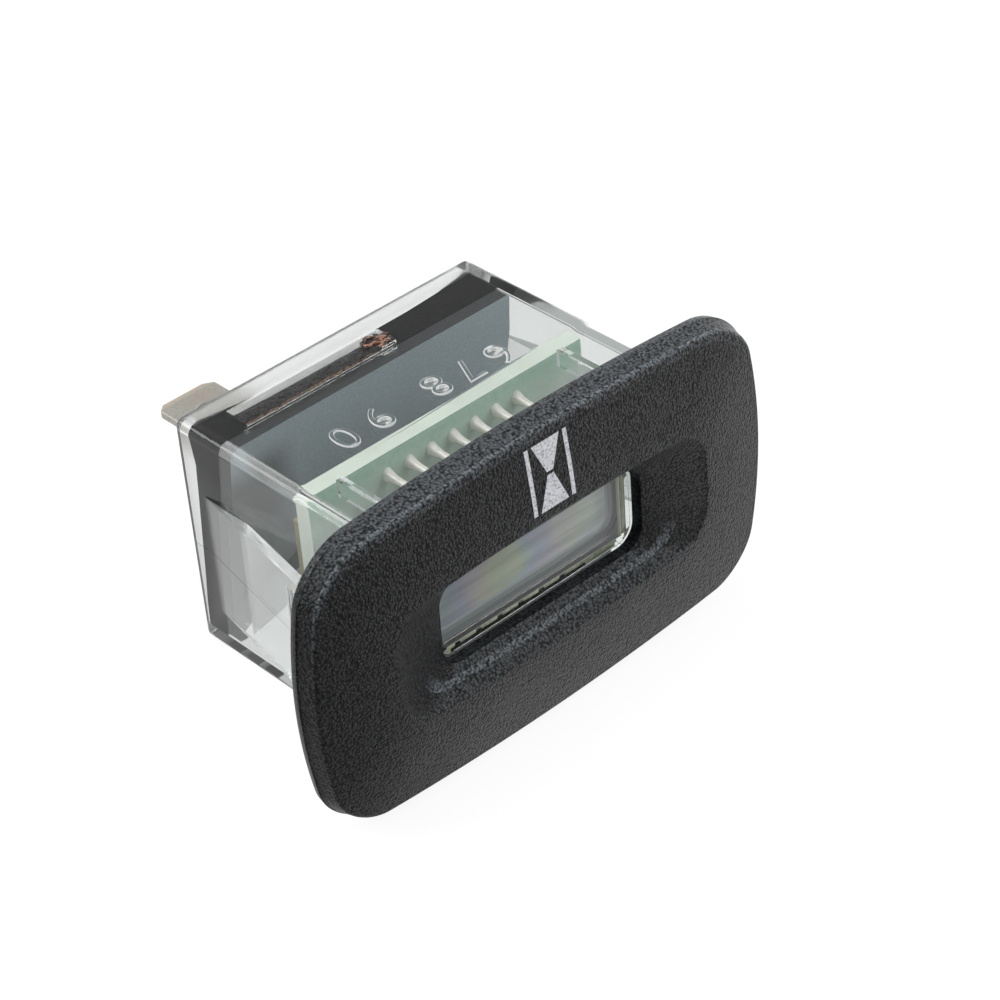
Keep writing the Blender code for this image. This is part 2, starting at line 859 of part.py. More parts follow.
def build_chip(name, place, size, leads, finish, group, tools):
    """A moulded chip with a row of gull-wing leads on both long sides."""
    low, high = on_board(place, size)
    body_low = (low[0], low[1] + chip_lift, low[2])
    chip = add_mesh(name, box_shape(body_low, high), finish, group, smooth=False)
    lead_pitch = size[0] / (leads + 0.5)
    half_lead = lead_width_ratio * lead_pitch / 2
    for top in (-1, 1):
        edge = place[1] + top * size[1] / 2
        points = [(z, y) for y, z in lead_outline(edge, top, low[1])]
        for number in range(leads):
            x = place[0] + (number - (leads - 1) / 2) * lead_pitch
            lead = prism_shape(points, x - half_lead, x + half_lead)
            sideways = Matrix(((0, 0, 1), (0, 1, 0), (1, 0, 0))).to_4x4()
            bmesh.ops.transform(lead, matrix=sideways, verts=lead.verts)
            bmesh.ops.recalc_face_normals(lead, faces=lead.faces)
            row = "top" if top > 0 else "bottom"
            tool = add_tool(f"{name}_lead_{row}_{number}", lead, tools)
            combine(chip, tool, "UNION")


def build_components(finishes, group, tools):
    """What the meter needs on its board's rear face."""
    dark = finishes["moulded"]
    build_chip(
        "microcontroller", controller_place, controller_size, controller_lead_count, dark, group, tools
    )
    build_chip("memory_chip", memory_place, memory_size, memory_lead_count, dark, group, tools)

    capacitor_place = (-board_half_x + capacitor_from_side + capacitor_size[0] / 2, capacitor_z)
    yellow = finishes["yellow"]
    build_block(
        "filter_capacitor", capacitor_place, capacitor_size, capacitor_round, yellow, group
    )
    build_block("crystal_can", crystal_place, crystal_size, crystal_round, finishes["can"], group)

    diode_x = board_half_x - diode_from_side - diode_size[0] / 2
    low_z = -board_half_z + diode_from_foot + diode_size[1] / 2
    for number, z in enumerate((diode_z, low_z), start=1):
        build_block(f"diode_{number}", (diode_x, z), diode_size, diode_round, dark, group)
    for number in range(resistor_count):
        place = (resistor_first_x + number * resistor_pitch, resistor_z)
        name = f"resistor_{number + 1}"
        build_block(name, place, resistor_size, resistor_round, finishes["resistor"], group)


def build_meter():
    """Build every piece of the meter and hang it on one empty."""
    clear_scene()
    group = new_collection("hour_meter")
    tools = new_collection("hour_meter_tools")
    root = bpy.data.objects.new("hour_meter", None)
    group.objects.link(root)

    black = material("black_abs", (0.02, 0.02, 0.022), 0.55)
    clear = material("clear_polycarbonate", (0.93, 0.95, 0.94), 0.03, transmission=1.0, ior=1.585)
    resin = material("black_potting_resin", (0.02, 0.019, 0.019), 0.35)
    moulded = material("black_nylon", (0.06, 0.065, 0.07), 0.5)
    amber = material("amber_resin", (0.32, 0.13, 0.04), 0.15)
    tin = material("tinned_brass", (0.62, 0.58, 0.5), 0.45, metallic=1.0)
    fibre = material("green_board", (0.13, 0.36, 0.2), 0.45)
    film = material("display_polariser", (0.62, 0.65, 0.62), 0.2)
    glass = material("display_glass", (0.85, 0.9, 0.88), 0.05, transmission=1.0, ior=1.52)
    foil = material("reflector_foil", (0.7, 0.72, 0.68), 0.35, metallic=0.6)
    chip = material("moulded_epoxy", (0.03, 0.03, 0.03), 0.6)
    can = material("drawn_aluminium", (0.72, 0.72, 0.73), 0.35, metallic=1.0)
    ceramic = material("ceramic_chip", (0.05, 0.05, 0.06), 0.4)
    yellow = material("tantalum_block", (0.75, 0.5, 0.12), 0.5)

    build_bezel(black, group)
    build_case(clear, group, tools)
    rooms = [
        build_terminal(-1, "left", tin, group, tools),
        build_terminal(1, "right", tin, group, tools),
    ]
    build_carrier(moulded, group, rooms)
    build_potting(resin, group, tools, rooms)
    build_bead(amber, group)
    build_board(fibre, group, tools)
    display = {
        "lcd_front_polariser": film,
        "lcd_front_glass": glass,
        "lcd_rear_glass": glass,
        "lcd_reflector": foil,
    }
    build_display(display, group)
    build_pins(tin, group, root)
    parts = {"moulded": chip, "can": can, "resistor": ceramic, "yellow": yellow}
    build_components(parts, group, tools)

    for item in group.objects:
        if item is not root:
            item.parent = root


build_meter()
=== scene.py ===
# %% [markdown]
# # Dressing a snap-in hour meter
# The CAD model gives every piece its real size and place. This file gives each one its finish, and makes again,
# finer, the pieces whose moulded form catches the light: the bezel, the clear case and the display.
# All lengths are in metres, in the frame of the CAD model: +Z is up and the window looks along -Y.

# %% Load the frame
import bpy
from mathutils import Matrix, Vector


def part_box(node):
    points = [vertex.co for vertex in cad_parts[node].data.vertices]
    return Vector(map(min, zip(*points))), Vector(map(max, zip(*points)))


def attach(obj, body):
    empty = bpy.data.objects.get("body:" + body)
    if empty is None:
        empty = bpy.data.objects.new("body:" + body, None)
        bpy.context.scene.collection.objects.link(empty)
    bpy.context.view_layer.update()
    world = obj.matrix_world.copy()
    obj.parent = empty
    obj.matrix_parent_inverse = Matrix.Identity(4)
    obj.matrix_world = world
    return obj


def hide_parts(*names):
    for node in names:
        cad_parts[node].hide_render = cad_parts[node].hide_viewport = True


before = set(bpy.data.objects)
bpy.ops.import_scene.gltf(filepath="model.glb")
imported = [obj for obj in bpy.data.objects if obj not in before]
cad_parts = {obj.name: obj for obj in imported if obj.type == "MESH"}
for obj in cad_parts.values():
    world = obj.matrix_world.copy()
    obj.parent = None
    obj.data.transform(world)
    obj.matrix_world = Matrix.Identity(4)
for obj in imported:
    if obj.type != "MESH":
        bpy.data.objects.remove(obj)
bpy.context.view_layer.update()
print("pieces in the frame:", len(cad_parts))

# %% Units and libraries
import math

import bmesh
import bpy
from mathutils import Matrix, Vector, noise

mm = 0.001
body = "root"
print("one body carries every piece:", body)

# %% [markdown]
# ## Camera
# The photo was taken from the upper left with a long lens. The camera's place and turn were fitted to the straight
# edges of the case, so the render and the photo can be laid over each other.

# %% Camera
camera_place = Vector((-130.2254, -146.5411, 151.5423)) * mm
camera_turn = (53.421, 3.5438, -43.5915)
camera_lens = 103.2
camera_data = bpy.data.cameras.new("camera")
camera_data.lens = camera_lens
camera_data.sensor_width = 36.0
camera_data.clip_start = 0.01
camera_data.clip_end = 20.0
camera = bpy.data.objects.new("camera", camera_data)
camera.location = camera_place
camera.rotation_euler = [math.radians(angle) for angle in camera_turn]
bpy.context.scene.collection.objects.link(camera)
bpy.context.scene.camera = camera
bpy.context.scene.view_settings.view_transform = "Standard"
print("camera stands", round(camera_place.length / mm), "mm from the panel's centre")

# %% [markdown]
# ## Small helpers
# Colours are written as sRGB hex values, as a paint card gives them, and one function turns them to the linear
# values that the shaders use. One function adds a node with its settings and links, and three more stand for the
# nodes that come most often: sums, ranges and mixes of two colours. One makes a material and sets plain values on
# its shader's own sockets, where the exporter looks for them. One makes a colour ramp.

# %% Helpers for materials


def linear(code):
    """Linear red, green, blue and alpha from an sRGB hex colour."""
    channels = []
    for start in (1, 3, 5):
        value = int(code[start:start + 2], 16) / 255
        channels.append(value / 12.92 if value <= 0.04045 else ((value + 0.055) / 1.055) ** 2.4)
    return (*channels, 1.0)


def add_node(tree, kind, settings=None, inputs=None):
    """Add a node, set its properties, and fill its inputs with values, other nodes or their outputs.

    Settings can be the bare name of an operation, and a node as an input stands for its first output.
    """
    made = tree.nodes.new(kind)
    if isinstance(settings, str):
        settings = {"operation": settings}
    for name, value in (settings or {}).items():
        setattr(made, name, value)
    for key, value in (inputs or {}).items():
        if isinstance(value, bpy.types.Node):
            value = value.outputs[0]
        if isinstance(value, bpy.types.NodeSocket):
            tree.links.new(value, made.inputs[key])
        else:
            made.inputs[key].default_value = value
    return made


def maths(tree, operation, *values):
    """A sum, product or comparison of values or of other nodes' outputs."""
    return add_node(tree, "ShaderNodeMath", operation, dict(enumerate(values)))


def remap(tree, value, before, after=(0.0, 1.0), smooth=False):
    """A value that lies between two limits, laid between two others and clamped there."""
    settings = {"interpolation_type": "SMOOTHSTEP"} if smooth else None
    names = ("Value", "From Min", "From Max", "To Min", "To Max")
    return add_node(tree, "ShaderNodeMapRange", settings, dict(zip(names, (value, *before, *after))))


def mix_colours(tree, share, first, second):
    """The first colour, with a share of the second in its place."""
    mixed = add_node(tree, "ShaderNodeMix", {"data_type": "RGBA"}, {0: share, 6: first, 7: second})
    return mixed.outputs[2]


def new_finish(name, values):
    """A material with one Principled shader, whose plain values go on its own sockets."""
    finish = bpy.data.materials.new(name)
    finish.use_nodes = True
    shader = finish.node_tree.nodes["Principled BSDF"]
    for socket, value in values.items():
        shader.inputs[socket].default_value = value
    return finish, finish.node_tree, shader


def ramp(tree, factor, stops):
    """A colour ramp from a factor, with stops of place and hex colour."""
    made = add_node(tree, "ShaderNodeValToRGB", inputs={"Fac": factor})
    elements = made.color_ramp.elements
    while len(elements) < len(stops):
        elements.new(0.5)
    for element, (place, code) in zip(elements, stops):
        element.position = place
        element.color = linear(code)
    return made.outputs["Color"]


print("mid grey in linear light:", round(linear("#808080")[0], 3))

# %% [markdown]
# ## Studio
# The meter lies on a pale sheet. A real one would rest on its bezel's lower edge and on the rear edge of its case,
# so the sheet is tilted to touch both. The camera sees the sheet and the surroundings as white, and so do
# reflections near the horizon, but overhead the room is dim between large soft lamps: clear plastic only looks
# like plastic when it has something dark to bend.

# %% Floor
bezel_low, bezel_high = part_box("bezel")
case_low, case_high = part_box("clear_case")
body_half_z = 12.1 * mm
front_foot = Vector((0, bezel_low.y * 0.3, bezel_low.z))
rear_foot = Vector((0, case_high.y, -body_half_z))
floor_tilt = math.atan2(rear_foot.z - front_foot.z, rear_foot.y - front_foot.y)
floor_size = 4.0
floor_mesh = bpy.data.meshes.new("floor")
shape = bmesh.new()
bmesh.ops.create_grid(shape, x_segments=4, y_segments=4, size=floor_size / 2)
bmesh.ops.transform(shape, matrix=Matrix.Rotation(floor_tilt, 4, "X"), verts=shape.verts)
bmesh.ops.translate(shape, vec=front_foot - Vector((0, 0, 0.1 * mm)), verts=shape.verts)
shape.to_mesh(floor_mesh)
shape.free()
floor = bpy.data.objects.new("floor", floor_mesh)
bpy.context.scene.collection.objects.link(floor)
print("the sheet tilts by", round(math.degrees(floor_tilt), 1), "degrees")

# %% [markdown]
# ## What the paper shows to whom
# The camera sees the paper as white with a faint shadow. A mirror-like ray sees it graded, as a photographer grades a
# table with black cards: bright close in front of the meter, darker farther out and to the left, which gives the dark
# plastic its modelling. Light that comes through the clear case meets the paper partly as it is, shadow and all, and
# partly as an even white glow, painted light that lightens that shadow.

# %% Floor paper
paper = bpy.data.materials.new("matt white paper")
paper.use_nodes = True
tree = paper.node_tree
tree.nodes.clear()
path = add_node(tree, "ShaderNodeLightPath")
place = add_node(tree, "ShaderNodeTexCoord").outputs["Object"]
paper_white = 1.12
white_share = 0.78
glow_share_through_case = 0.45
shaded = add_node(tree, "ShaderNodeBsdfDiffuse", inputs={"Color": linear("#f4f4f4")})
glowing = add_node(tree, "ShaderNodeEmission", inputs={"Color": (1, 1, 1, 1), "Strength": paper_white})
to_camera = maths(tree, "MULTIPLY", path.outputs["Is Camera Ray"], white_share)
# Rays through the clear case see the paper partly as an even white glow: painted light that lightens its shadow there.
share = maths(tree, "MULTIPLY_ADD", path.outputs["Is Transmission Ray"], glow_share_through_case, to_camera)
seen = add_node(tree, "ShaderNodeMixShader", inputs={0: share, 1: shaded, 2: glowing})


def grade(direction, dark_at, bright_at, darkest):
    """Brightness that rises along a direction on the paper, between two places in metres."""
    along = add_node(tree, "ShaderNodeVectorMath", "DOT_PRODUCT", {0: place, 1: direction})
    level = remap(tree, along.outputs["Value"], (dark_at, bright_at), (darkest, 1.0), smooth=True)
    return level.outputs[0]


towards_front = grade((0.35, 1.0, 0.0), -24 * mm, -4 * mm, 0.14)
towards_left = grade((1.0, -0.2, 0.0), -34 * mm, 0.0, 0.6)
graded = maths(tree, "MULTIPLY", towards_front, towards_left)
mirrored = add_node(tree, "ShaderNodeEmission", inputs={"Color": (1, 1, 1, 1), "Strength": graded})
mixed = add_node(tree, "ShaderNodeMixShader", inputs={0: path.outputs["Is Glossy Ray"], 1: seen, 2: mirrored})
add_node(tree, "ShaderNodeOutputMaterial", inputs={"Surface": mixed})
floor_mesh.materials.append(paper)
print("floor material:", paper.name)

# %% Surroundings
world = bpy.data.worlds.new("studio")
bpy.context.scene.world = world
world.use_nodes = True
tree = world.node_tree
tree.nodes.clear()
room_strength = 0.4
mirror_strength = 0.24
path = add_node(tree, "ShaderNodeLightPath")
direction = add_node(tree, "ShaderNodeTexCoord")
height = add_node(tree, "ShaderNodeSeparateXYZ", inputs={0: direction.outputs["Generated"]})
horizon = remap(tree, height.outputs["Z"], (0.1, 0.35), (1.0, mirror_strength), smooth=True)
mirrored = maths(tree, "MAXIMUM", path.outputs["Is Glossy Ray"], path.outputs["Is Transmission Ray"])
for_mirrors = add_node(tree, "ShaderNodeMix", {"data_type": "FLOAT"}, {0: mirrored, 2: room_strength, 3: horizon})
strength = maths(tree, "MAXIMUM", for_mirrors, path.outputs["Is Camera Ray"])
sky = add_node(tree, "ShaderNodeBackground", inputs={"Color": (1, 1, 1, 1), "Strength": strength})
add_node(tree, "ShaderNodeOutputWorld", inputs={"Surface": sky})
print("the room gives", room_strength, "of white")

# %% Soft lamps


def soft_lamp(name, towards, distance, size, radiance):
    """A square softbox that looks at the meter and shines with a radiance relative to white."""
    lamp = bpy.data.lights.new(name, "AREA")
    lamp.shape = "SQUARE"
    lamp.size = size
    lamp.energy = radiance * math.pi * size * size
    item = bpy.data.objects.new(name, lamp)
    away = Vector(towards).normalized()
    item.location = away * distance + Vector((0, 10 * mm, 0))
    item.rotation_euler = away.to_track_quat("Z", "Y").to_euler()
    bpy.context.scene.collection.objects.link(item)
    return item


soft_lamp("key_softbox", (-0.62, 0.46, 0.72), 0.5, 0.34, 3.4)
soft_lamp("front_softbox", (0.53, -0.62, 0.56), 0.6, 0.26, 4.5)
soft_lamp("right_softbox", (0.9, -0.1, 0.45), 0.6, 0.25, 3.5)
soft_lamp("top_softbox", (0.1, 0.1, 1.0), 0.6, 0.3, 1.4)
print("lamps: 4")

# %% [markdown]
# ## Bezel: the finish
# The bezel is black ABS, injection moulded in a spark-eroded tool. That leaves a fine pebbled grain which scatters
# the highlights into sparkles along every ridge. The lip behind the parting line comes from the other, polished
# half of the tool, so it is smooth. Both halves can be one material: the grain fades out at the lip's level.
# The pits between the pebbles are painted darker, as painted shade, and they are duller than the pebbles' tops. Faces
# that look up hold a little fine dust, mixed with painted light from above, the ridge carries a painted highlight, and
# the window's walls lie in their own shade.

# %% Bezel finish
lip_level = -0.85 * mm
grain_size = 0.24 * mm
grain_depth = 0.15 * mm
window_shade_from = bezel_low.y + 2.05 * mm
window_reach = 13 * mm
ridge_y = bezel_low.y + 1.18 * mm
ridge_half_width = 0.22 * mm
scuff_place = (-26.7 * mm, -1.0 * mm, -0.3 * mm)
black_abs, tree, shader = new_finish("black ABS, spark-eroded grain", {"IOR": 1.53})
place = add_node(tree, "ShaderNodeTexCoord").outputs["Object"]
parts = add_node(tree, "ShaderNodeSeparateXYZ", inputs={0: place})
pebbles = add_node(
    tree,
    "ShaderNodeTexVoronoi",
    {"feature": "SMOOTH_F1"},
    {"Vector": place, "Scale": 1 / grain_size, "Smoothness": 0.5, "Detail": 0.0},
)
dust = add_node(
    tree, "ShaderNodeTexNoise", inputs={"Vector": place, "Scale": 0.9 / grain_size, "Detail": 3.0, "Roughness": 0.65}
)
relief = maths(tree, "SUBTRACT", dust.outputs["Fac"], pebbles.outputs["Distance"])
grained = remap(tree, parts.outputs["Y"], (lip_level - 0.05 * mm, lip_level), (1.0, 0.05))
bump = add_node(tree, "ShaderNodeBump", inputs={"Strength": grained, "Distance": grain_depth, "Height": relief})
tree.links.new(bump.outputs["Normal"], shader.inputs["Normal"])
clouds = add_node(tree, "ShaderNodeTexNoise", inputs={"Vector": place, "Scale": 1 / (5 * mm), "Detail": 4.0})
polish = remap(tree, clouds.outputs["Fac"], (0.0, 1.0), (0.22, 0.4))
tree.links.new(polish.outputs[0], shader.inputs["Roughness"])
# The pits are painted darker than the pebbles' tops: painted shade.
pebble_colour_painted_pit_shade = ramp(tree, pebbles.outputs["Distance"], [(0.15, "#1d1f22"), (0.65, "#0a0b0c")])
print("grain of", round(grain_size / mm, 2), "mm")

# %% [markdown]
# The window's walls are the part of the bezel that is both deep and near the middle. Little light gets in there, so
# gloss, relief and dust all fade. Gloss also fades in the pits, where a pebble hides the lamps from its neighbour.

# %% Shade in the window and in the pits
in_depth = maths(tree, "GREATER_THAN", parts.outputs["Y"], window_shade_from)
across = add_node(tree, "ShaderNodeVectorMath", "MULTIPLY", {0: place, 1: (1, 0, 1)})
from_middle = add_node(tree, "ShaderNodeVectorMath", "LENGTH", {0: across})
near_window = maths(tree, "LESS_THAN", from_middle.outputs["Value"], window_reach)
window_shade = maths(tree, "MULTIPLY", in_depth, near_window)
in_the_open = add_node(
    tree, "ShaderNodeMath", {"operation": "SUBTRACT", "use_clamp": True}, {0: 1.15, 1: window_shade}
)
cavity = remap(tree, pebbles.outputs["Distance"], (0.15, 0.6), (0.62, 0.24))
gloss = maths(tree, "MULTIPLY", cavity, in_the_open)
tree.links.new(gloss.outputs[0], shader.inputs["Specular IOR Level"])
depth_share = maths(tree, "MULTIPLY", grained, in_the_open)
tree.links.new(depth_share.outputs[0], bump.inputs["Strength"])
print("the window's shade starts at", round(window_shade_from / mm, 2), "mm")

# %% [markdown]
# Dust, mixed with painted light from above, follows a rule: it lies where a face looks up. So the direction of the
# face sets its share, and the grain breaks it up. The painted highlight on the ridge is a band at one level, on the
# upper side only.

# %% Dust with painted light from above, and the painted ridge highlight
facing = add_node(tree, "ShaderNodeSeparateXYZ", inputs={0: add_node(tree, "ShaderNodeTexCoord").outputs["Normal"]})
# Faces that look up get fine dust and painted light from above in one pale blue-grey.
upward = remap(tree, facing.outputs["Z"], (0.36, 0.95), (0.0, 0.5))
# The band along the ridge's upper side is a painted highlight.
on_ridge = maths(tree, "COMPARE", parts.outputs["Y"], ridge_y, ridge_half_width)
ridge_up = remap(tree, facing.outputs["Z"], (0.05, 0.3), (0.0, 0.6))
painted_ridge_highlight = maths(tree, "MULTIPLY", on_ridge, ridge_up)
lit_up = maths(tree, "ADD", upward, painted_ridge_highlight)
specks = remap(tree, relief, (-0.3, 0.45))
dusty_and_lit = maths(tree, "MULTIPLY", lit_up, specks)
dust_and_light_share = maths(tree, "MULTIPLY", dusty_and_lit, in_the_open)
dusted_and_lit = add_node(
    tree,
    "ShaderNodeMix",
    {"data_type": "RGBA", "clamp_factor": True},
    {0: dust_and_light_share, 6: pebble_colour_painted_pit_shade, 7: linear("#8b949b")},
)
print("dust lies on faces that look up")

# %% Scuff on the left side
from_scuff = add_node(tree, "ShaderNodeVectorMath", "DISTANCE", {0: place, 1: scuff_place})
ragged = maths(tree, "MULTIPLY_ADD", dust.outputs["Fac"], 1.4 * mm, from_scuff.outputs["Value"])
scuffed = remap(tree, ragged, (1.3 * mm, 1.6 * mm), (1.0, 0.0))
coloured = mix_colours(tree, scuffed, dusted_and_lit.outputs[2], linear("#040405"))
tree.links.new(coloured, shader.inputs["Base Color"])
print("scuff at", [round(side / mm, 1) for side in scuff_place], "mm")

# %% [markdown]
# ## Bezel: the shape
# Every section across the bezel is a rounded rectangle with bulging sides, and only its size, corner, bulge and
# level change on the way from the panel over the rim, across the crowned face and down into the window. It could be
# lofted by hand, face by face. A node tree does it better: the tree reads one row of points, each with the values
# of one section, and spins each of them out into a ring. The rows can then be as fine as the highlights need.

# %% Helpers for node trees


def new_tree(name, inputs):
    """A geometry node tree with a geometry input, the named inputs, and a geometry output."""
    made = bpy.data.node_groups.new(name, "GeometryNodeTree")
    made.is_modifier = True
    made.interface.new_socket("Geometry", in_out="INPUT", socket_type="NodeSocketGeometry")
    made.interface.new_socket("Geometry", in_out="OUTPUT", socket_type="NodeSocketGeometry")
    for label, kind in inputs.items():
        made.interface.new_socket(label, in_out="INPUT", socket_type=f"NodeSocket{kind}")
    entry = made.nodes.new("NodeGroupInput")
    return made, entry.outputs


def close_tree(tree, entry, geometry):
    """End a tree as every tree here ends: instances made real, then the finish."""
    real = add_node(tree, "GeometryNodeRealizeInstances", inputs={"Geometry": geometry})
    dressed = add_node(tree, "GeometryNodeSetMaterial", inputs={"Geometry": real, "Material": entry["Finish"]})
    add_node(tree, "NodeGroupOutput", inputs={0: dressed})


def run_tree(name, start, tree, values):
    """Run a tree on a starting mesh and keep the result as a plain mesh object."""
    item = bpy.data.objects.new(name, start)
    step = item.modifiers.new(tree.name, "NODES")
    step.node_group = tree
    for socket in tree.interface.items_tree:
        if socket.in_out == "INPUT" and socket.name in values:
            step[socket.identifier] = values[socket.name]
    bpy.context.scene.collection.objects.link(item)
    view = bpy.context.evaluated_depsgraph_get()
    made = bpy.data.meshes.new_from_object(item.evaluated_get(view))
    item.modifiers.clear()
    item.data = made
    return item


def tidy_mesh(mesh, distance=0.001 * mm):
    """Merge doubled points and turn every face outwards."""
    shape = bmesh.new()
    shape.from_mesh(mesh)
    bmesh.ops.remove_doubles(shape, verts=shape.verts, dist=distance)
    bmesh.ops.recalc_face_normals(shape, faces=shape.faces)
    shape.to_mesh(mesh)
    shape.free()


def bake_modifiers(item):
    """Keep an object's evaluated mesh and drop its modifiers."""
    view = bpy.context.evaluated_depsgraph_get()
    made = bpy.data.meshes.new_from_object(item.evaluated_get(view))
    item.modifiers.clear()
    item.data = made


def show(item, slot, *nodes):
    """Let a finished piece ride on the meter and stand for CAD nodes."""
    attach(item, body)
    if nodes:
        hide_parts(*nodes)
    print(f"{item.name}: {len(item.data.polygons)} faces")


print("helpers ready")

# %% Tree that spins rows into rings
spin_tree, entry = new_tree(
    "rings_from_rows", {"Points around": "Int", "Corner share": "Float", "Finish": "Material"}
)
rows = add_node(spin_tree, "GeometryNodeAttributeDomainSize", {"component": "MESH"}, {0: entry["Geometry"]})
across = maths(spin_tree, "ADD", entry["Points around"], 1.0)
grid = add_node(
    spin_tree, "GeometryNodeMeshGrid", inputs={"Vertices X": rows.outputs["Point Count"], "Vertices Y": across}
)
index = add_node(spin_tree, "GeometryNodeInputIndex")
row_share = maths(spin_tree, "DIVIDE", index, across)
row = maths(spin_tree, "FLOOR", row_share)
column = maths(spin_tree, "MODULO", index, across)
turn = maths(spin_tree, "DIVIDE", column, entry["Points around"])
quarters = maths(spin_tree, "MULTIPLY", turn, 4.0)
quarter = maths(spin_tree, "FLOOR", quarters)
within = maths(spin_tree, "FRACT", quarters)
arc = remap(spin_tree, within, (0.0, entry["Corner share"]))
slide = remap(spin_tree, within, (entry["Corner share"], 1.0))
arc_turn = maths(spin_tree, "ADD", quarter, arc)


def direction_of(quarter_turns, shift, length):
    """Vector in X and Z at a number of quarter turns plus a shift."""
    angle = maths(spin_tree, "MULTIPLY_ADD", quarter_turns, math.pi / 2, shift)
    sides = []
    for function in ("COSINE", "SINE"):
        wave = maths(spin_tree, function, angle)
        grown = maths(spin_tree, "MULTIPLY", wave, length)
        sides.append(grown.outputs[0])
    both = add_node(spin_tree, "ShaderNodeCombineXYZ", inputs={"X": sides[0], "Z": sides[1]})
    return both.outputs[0]


outward = direction_of(arc_turn.outputs[0], 0.0, 1.0)
corner_here = direction_of(quarter.outputs[0], math.pi / 4, math.sqrt(2))
corner_next = direction_of(quarter.outputs[0], 3 * math.pi / 4, math.sqrt(2))
towards_corner = add_node(
    spin_tree, "ShaderNodeMix", {"data_type": "VECTOR"}, {0: slide, 4: corner_here, 5: corner_next}
)


def row_value(name, kind):
    """One of the section's values, read from the row that a grid point belongs to."""
    stored = add_node(spin_tree, "GeometryNodeInputNamedAttribute", {"data_type": kind}, {"Name": name})
    picked = add_node(
        spin_tree,
        "GeometryNodeSampleIndex",
        {"data_type": kind, "domain": "POINT"},
        {"Geometry": entry["Geometry"], "Value": stored, "Index": row},
    )
    return picked.outputs[0]


def vector_step(operation, *values):
    """Combine vectors, or a vector and a factor."""
    made = add_node(spin_tree, "ShaderNodeVectorMath", operation, dict(enumerate(values)))
    return made.outputs[0]


half_size = row_value("half_size", "FLOAT_VECTOR")
bulge = row_value("bulge", "FLOAT_VECTOR")
corner = row_value("corner", "FLOAT")
level = row_value("position", "FLOAT_VECTOR")
base = vector_step("SUBTRACT", half_size, bulge)
to_centre = vector_step("SUBTRACT", base, corner)
centre = vector_step("MULTIPLY", towards_corner.outputs[1], to_centre)
reach = vector_step("MULTIPLY", outward, corner)
flat = vector_step("ADD", centre, reach)
ratio = vector_step("DIVIDE", flat, base)
squared = vector_step("MULTIPLY", ratio, ratio)
swap = add_node(spin_tree, "ShaderNodeSeparateXYZ", inputs={0: squared})
swapped = add_node(spin_tree, "ShaderNodeCombineXYZ", inputs={"X": swap.outputs["Z"], "Z": swap.outputs["X"]})
left_over = vector_step("SUBTRACT", (1, 1, 1), swapped.outputs[0])
bulge_share = vector_step("DIVIDE", bulge, base)
swell = vector_step("MULTIPLY_ADD", bulge_share, left_over, (1, 1, 1))
round_trip = vector_step("MULTIPLY", flat, swell)
final = vector_step("ADD", round_trip, level)
placed = add_node(spin_tree, "GeometryNodeSetPosition", inputs={"Geometry": grid.outputs["Mesh"], "Position": final})
joined = add_node(spin_tree, "GeometryNodeMergeByDistance", inputs={"Geometry": placed, "Distance": 0.0005 * mm})
close_tree(spin_tree, entry, joined.outputs[0])
print("nodes in the tree:", len(spin_tree.nodes))

# %% Sections of the bezel
bezel_half = (bezel_high - bezel_low) / 2
rim_depth = 2.6 * mm
crown = 1.05 * mm
crown_power = 1.3
lip_depth = 0.8 * mm
lip_draft = 0.15 * mm
parting_step = 0.1 * mm
side_draft = 0.35 * mm
ridge_radius = 0.4 * mm
rim_wall = 2.0 * mm
front_level = bezel_low.y
window_level = front_level + 2.1 * mm
shelf_level = window_level + 1.1 * mm
pocket_level = -1.3 * mm


def rim(inset):
    """Values of the bezel's own outline, drawn in by an inset."""
    return (bezel_half.x - inset, bezel_half.z - inset, 4.8 * mm - inset, 2.0 * mm, 1.25 * mm)


def blend(first, second, share):
    """Values of a section between two others."""
    return tuple(a + (b - a) * share for a, b in zip(first, second))


recess = (18.45 * mm, 6.6 * mm, 3.0 * mm, 0.4 * mm, 0.8 * mm)
window = (11.95 * mm, 4.35 * mm, 2.1 * mm, 0.0, 0.0)
shelf = (window[0] + 2.6 * mm, window[1] + 1.6 * mm, window[2], 0.0, 0.0)

sections = [(rim(lip_draft), 0.0), (rim(0.0), -lip_depth), (rim(parting_step), -lip_depth - parting_step)]
ridge_start = parting_step + side_draft
for step in range(7):
    angle = math.pi / 2 * step / 6
    inset = ridge_start + ridge_radius * (1 - math.cos(angle))
    sections.append((rim(inset), -(rim_depth - ridge_radius) - ridge_radius * math.sin(angle)))
face_edge = rim(ridge_start + ridge_radius)
face_rows = 18
edge_round = 0.14 * mm
run = bezel_half.z - recess[1]
for step in range(1, face_rows + 1):
    share = (step / face_rows) * (1 - edge_round / run)
    sections.append((blend(face_edge, recess, share), -rim_depth - crown * (1 - (1 - share) ** crown_power)))
slope_share = edge_round / (recess[0] - window[0])
sections.append((blend(recess, window, 0.35 * slope_share), front_level + 0.02 * mm))
sections.append((blend(recess, window, slope_share), front_level + 0.1 * mm))
for step in range(1, 9):
    share = slope_share + (1 - slope_share) * step / 8
    sections.append((blend(recess, window, share), front_level + 2.1 * mm * share))
sections.append((window, shelf_level))
sections.append((shelf, shelf_level))
sections.append((shelf, pocket_level))
sections.append((rim(rim_wall), pocket_level))
sections.append((rim(rim_wall), 0.0))
sections.append(sections[0])
print("sections:", len(sections))

# %% Bezel


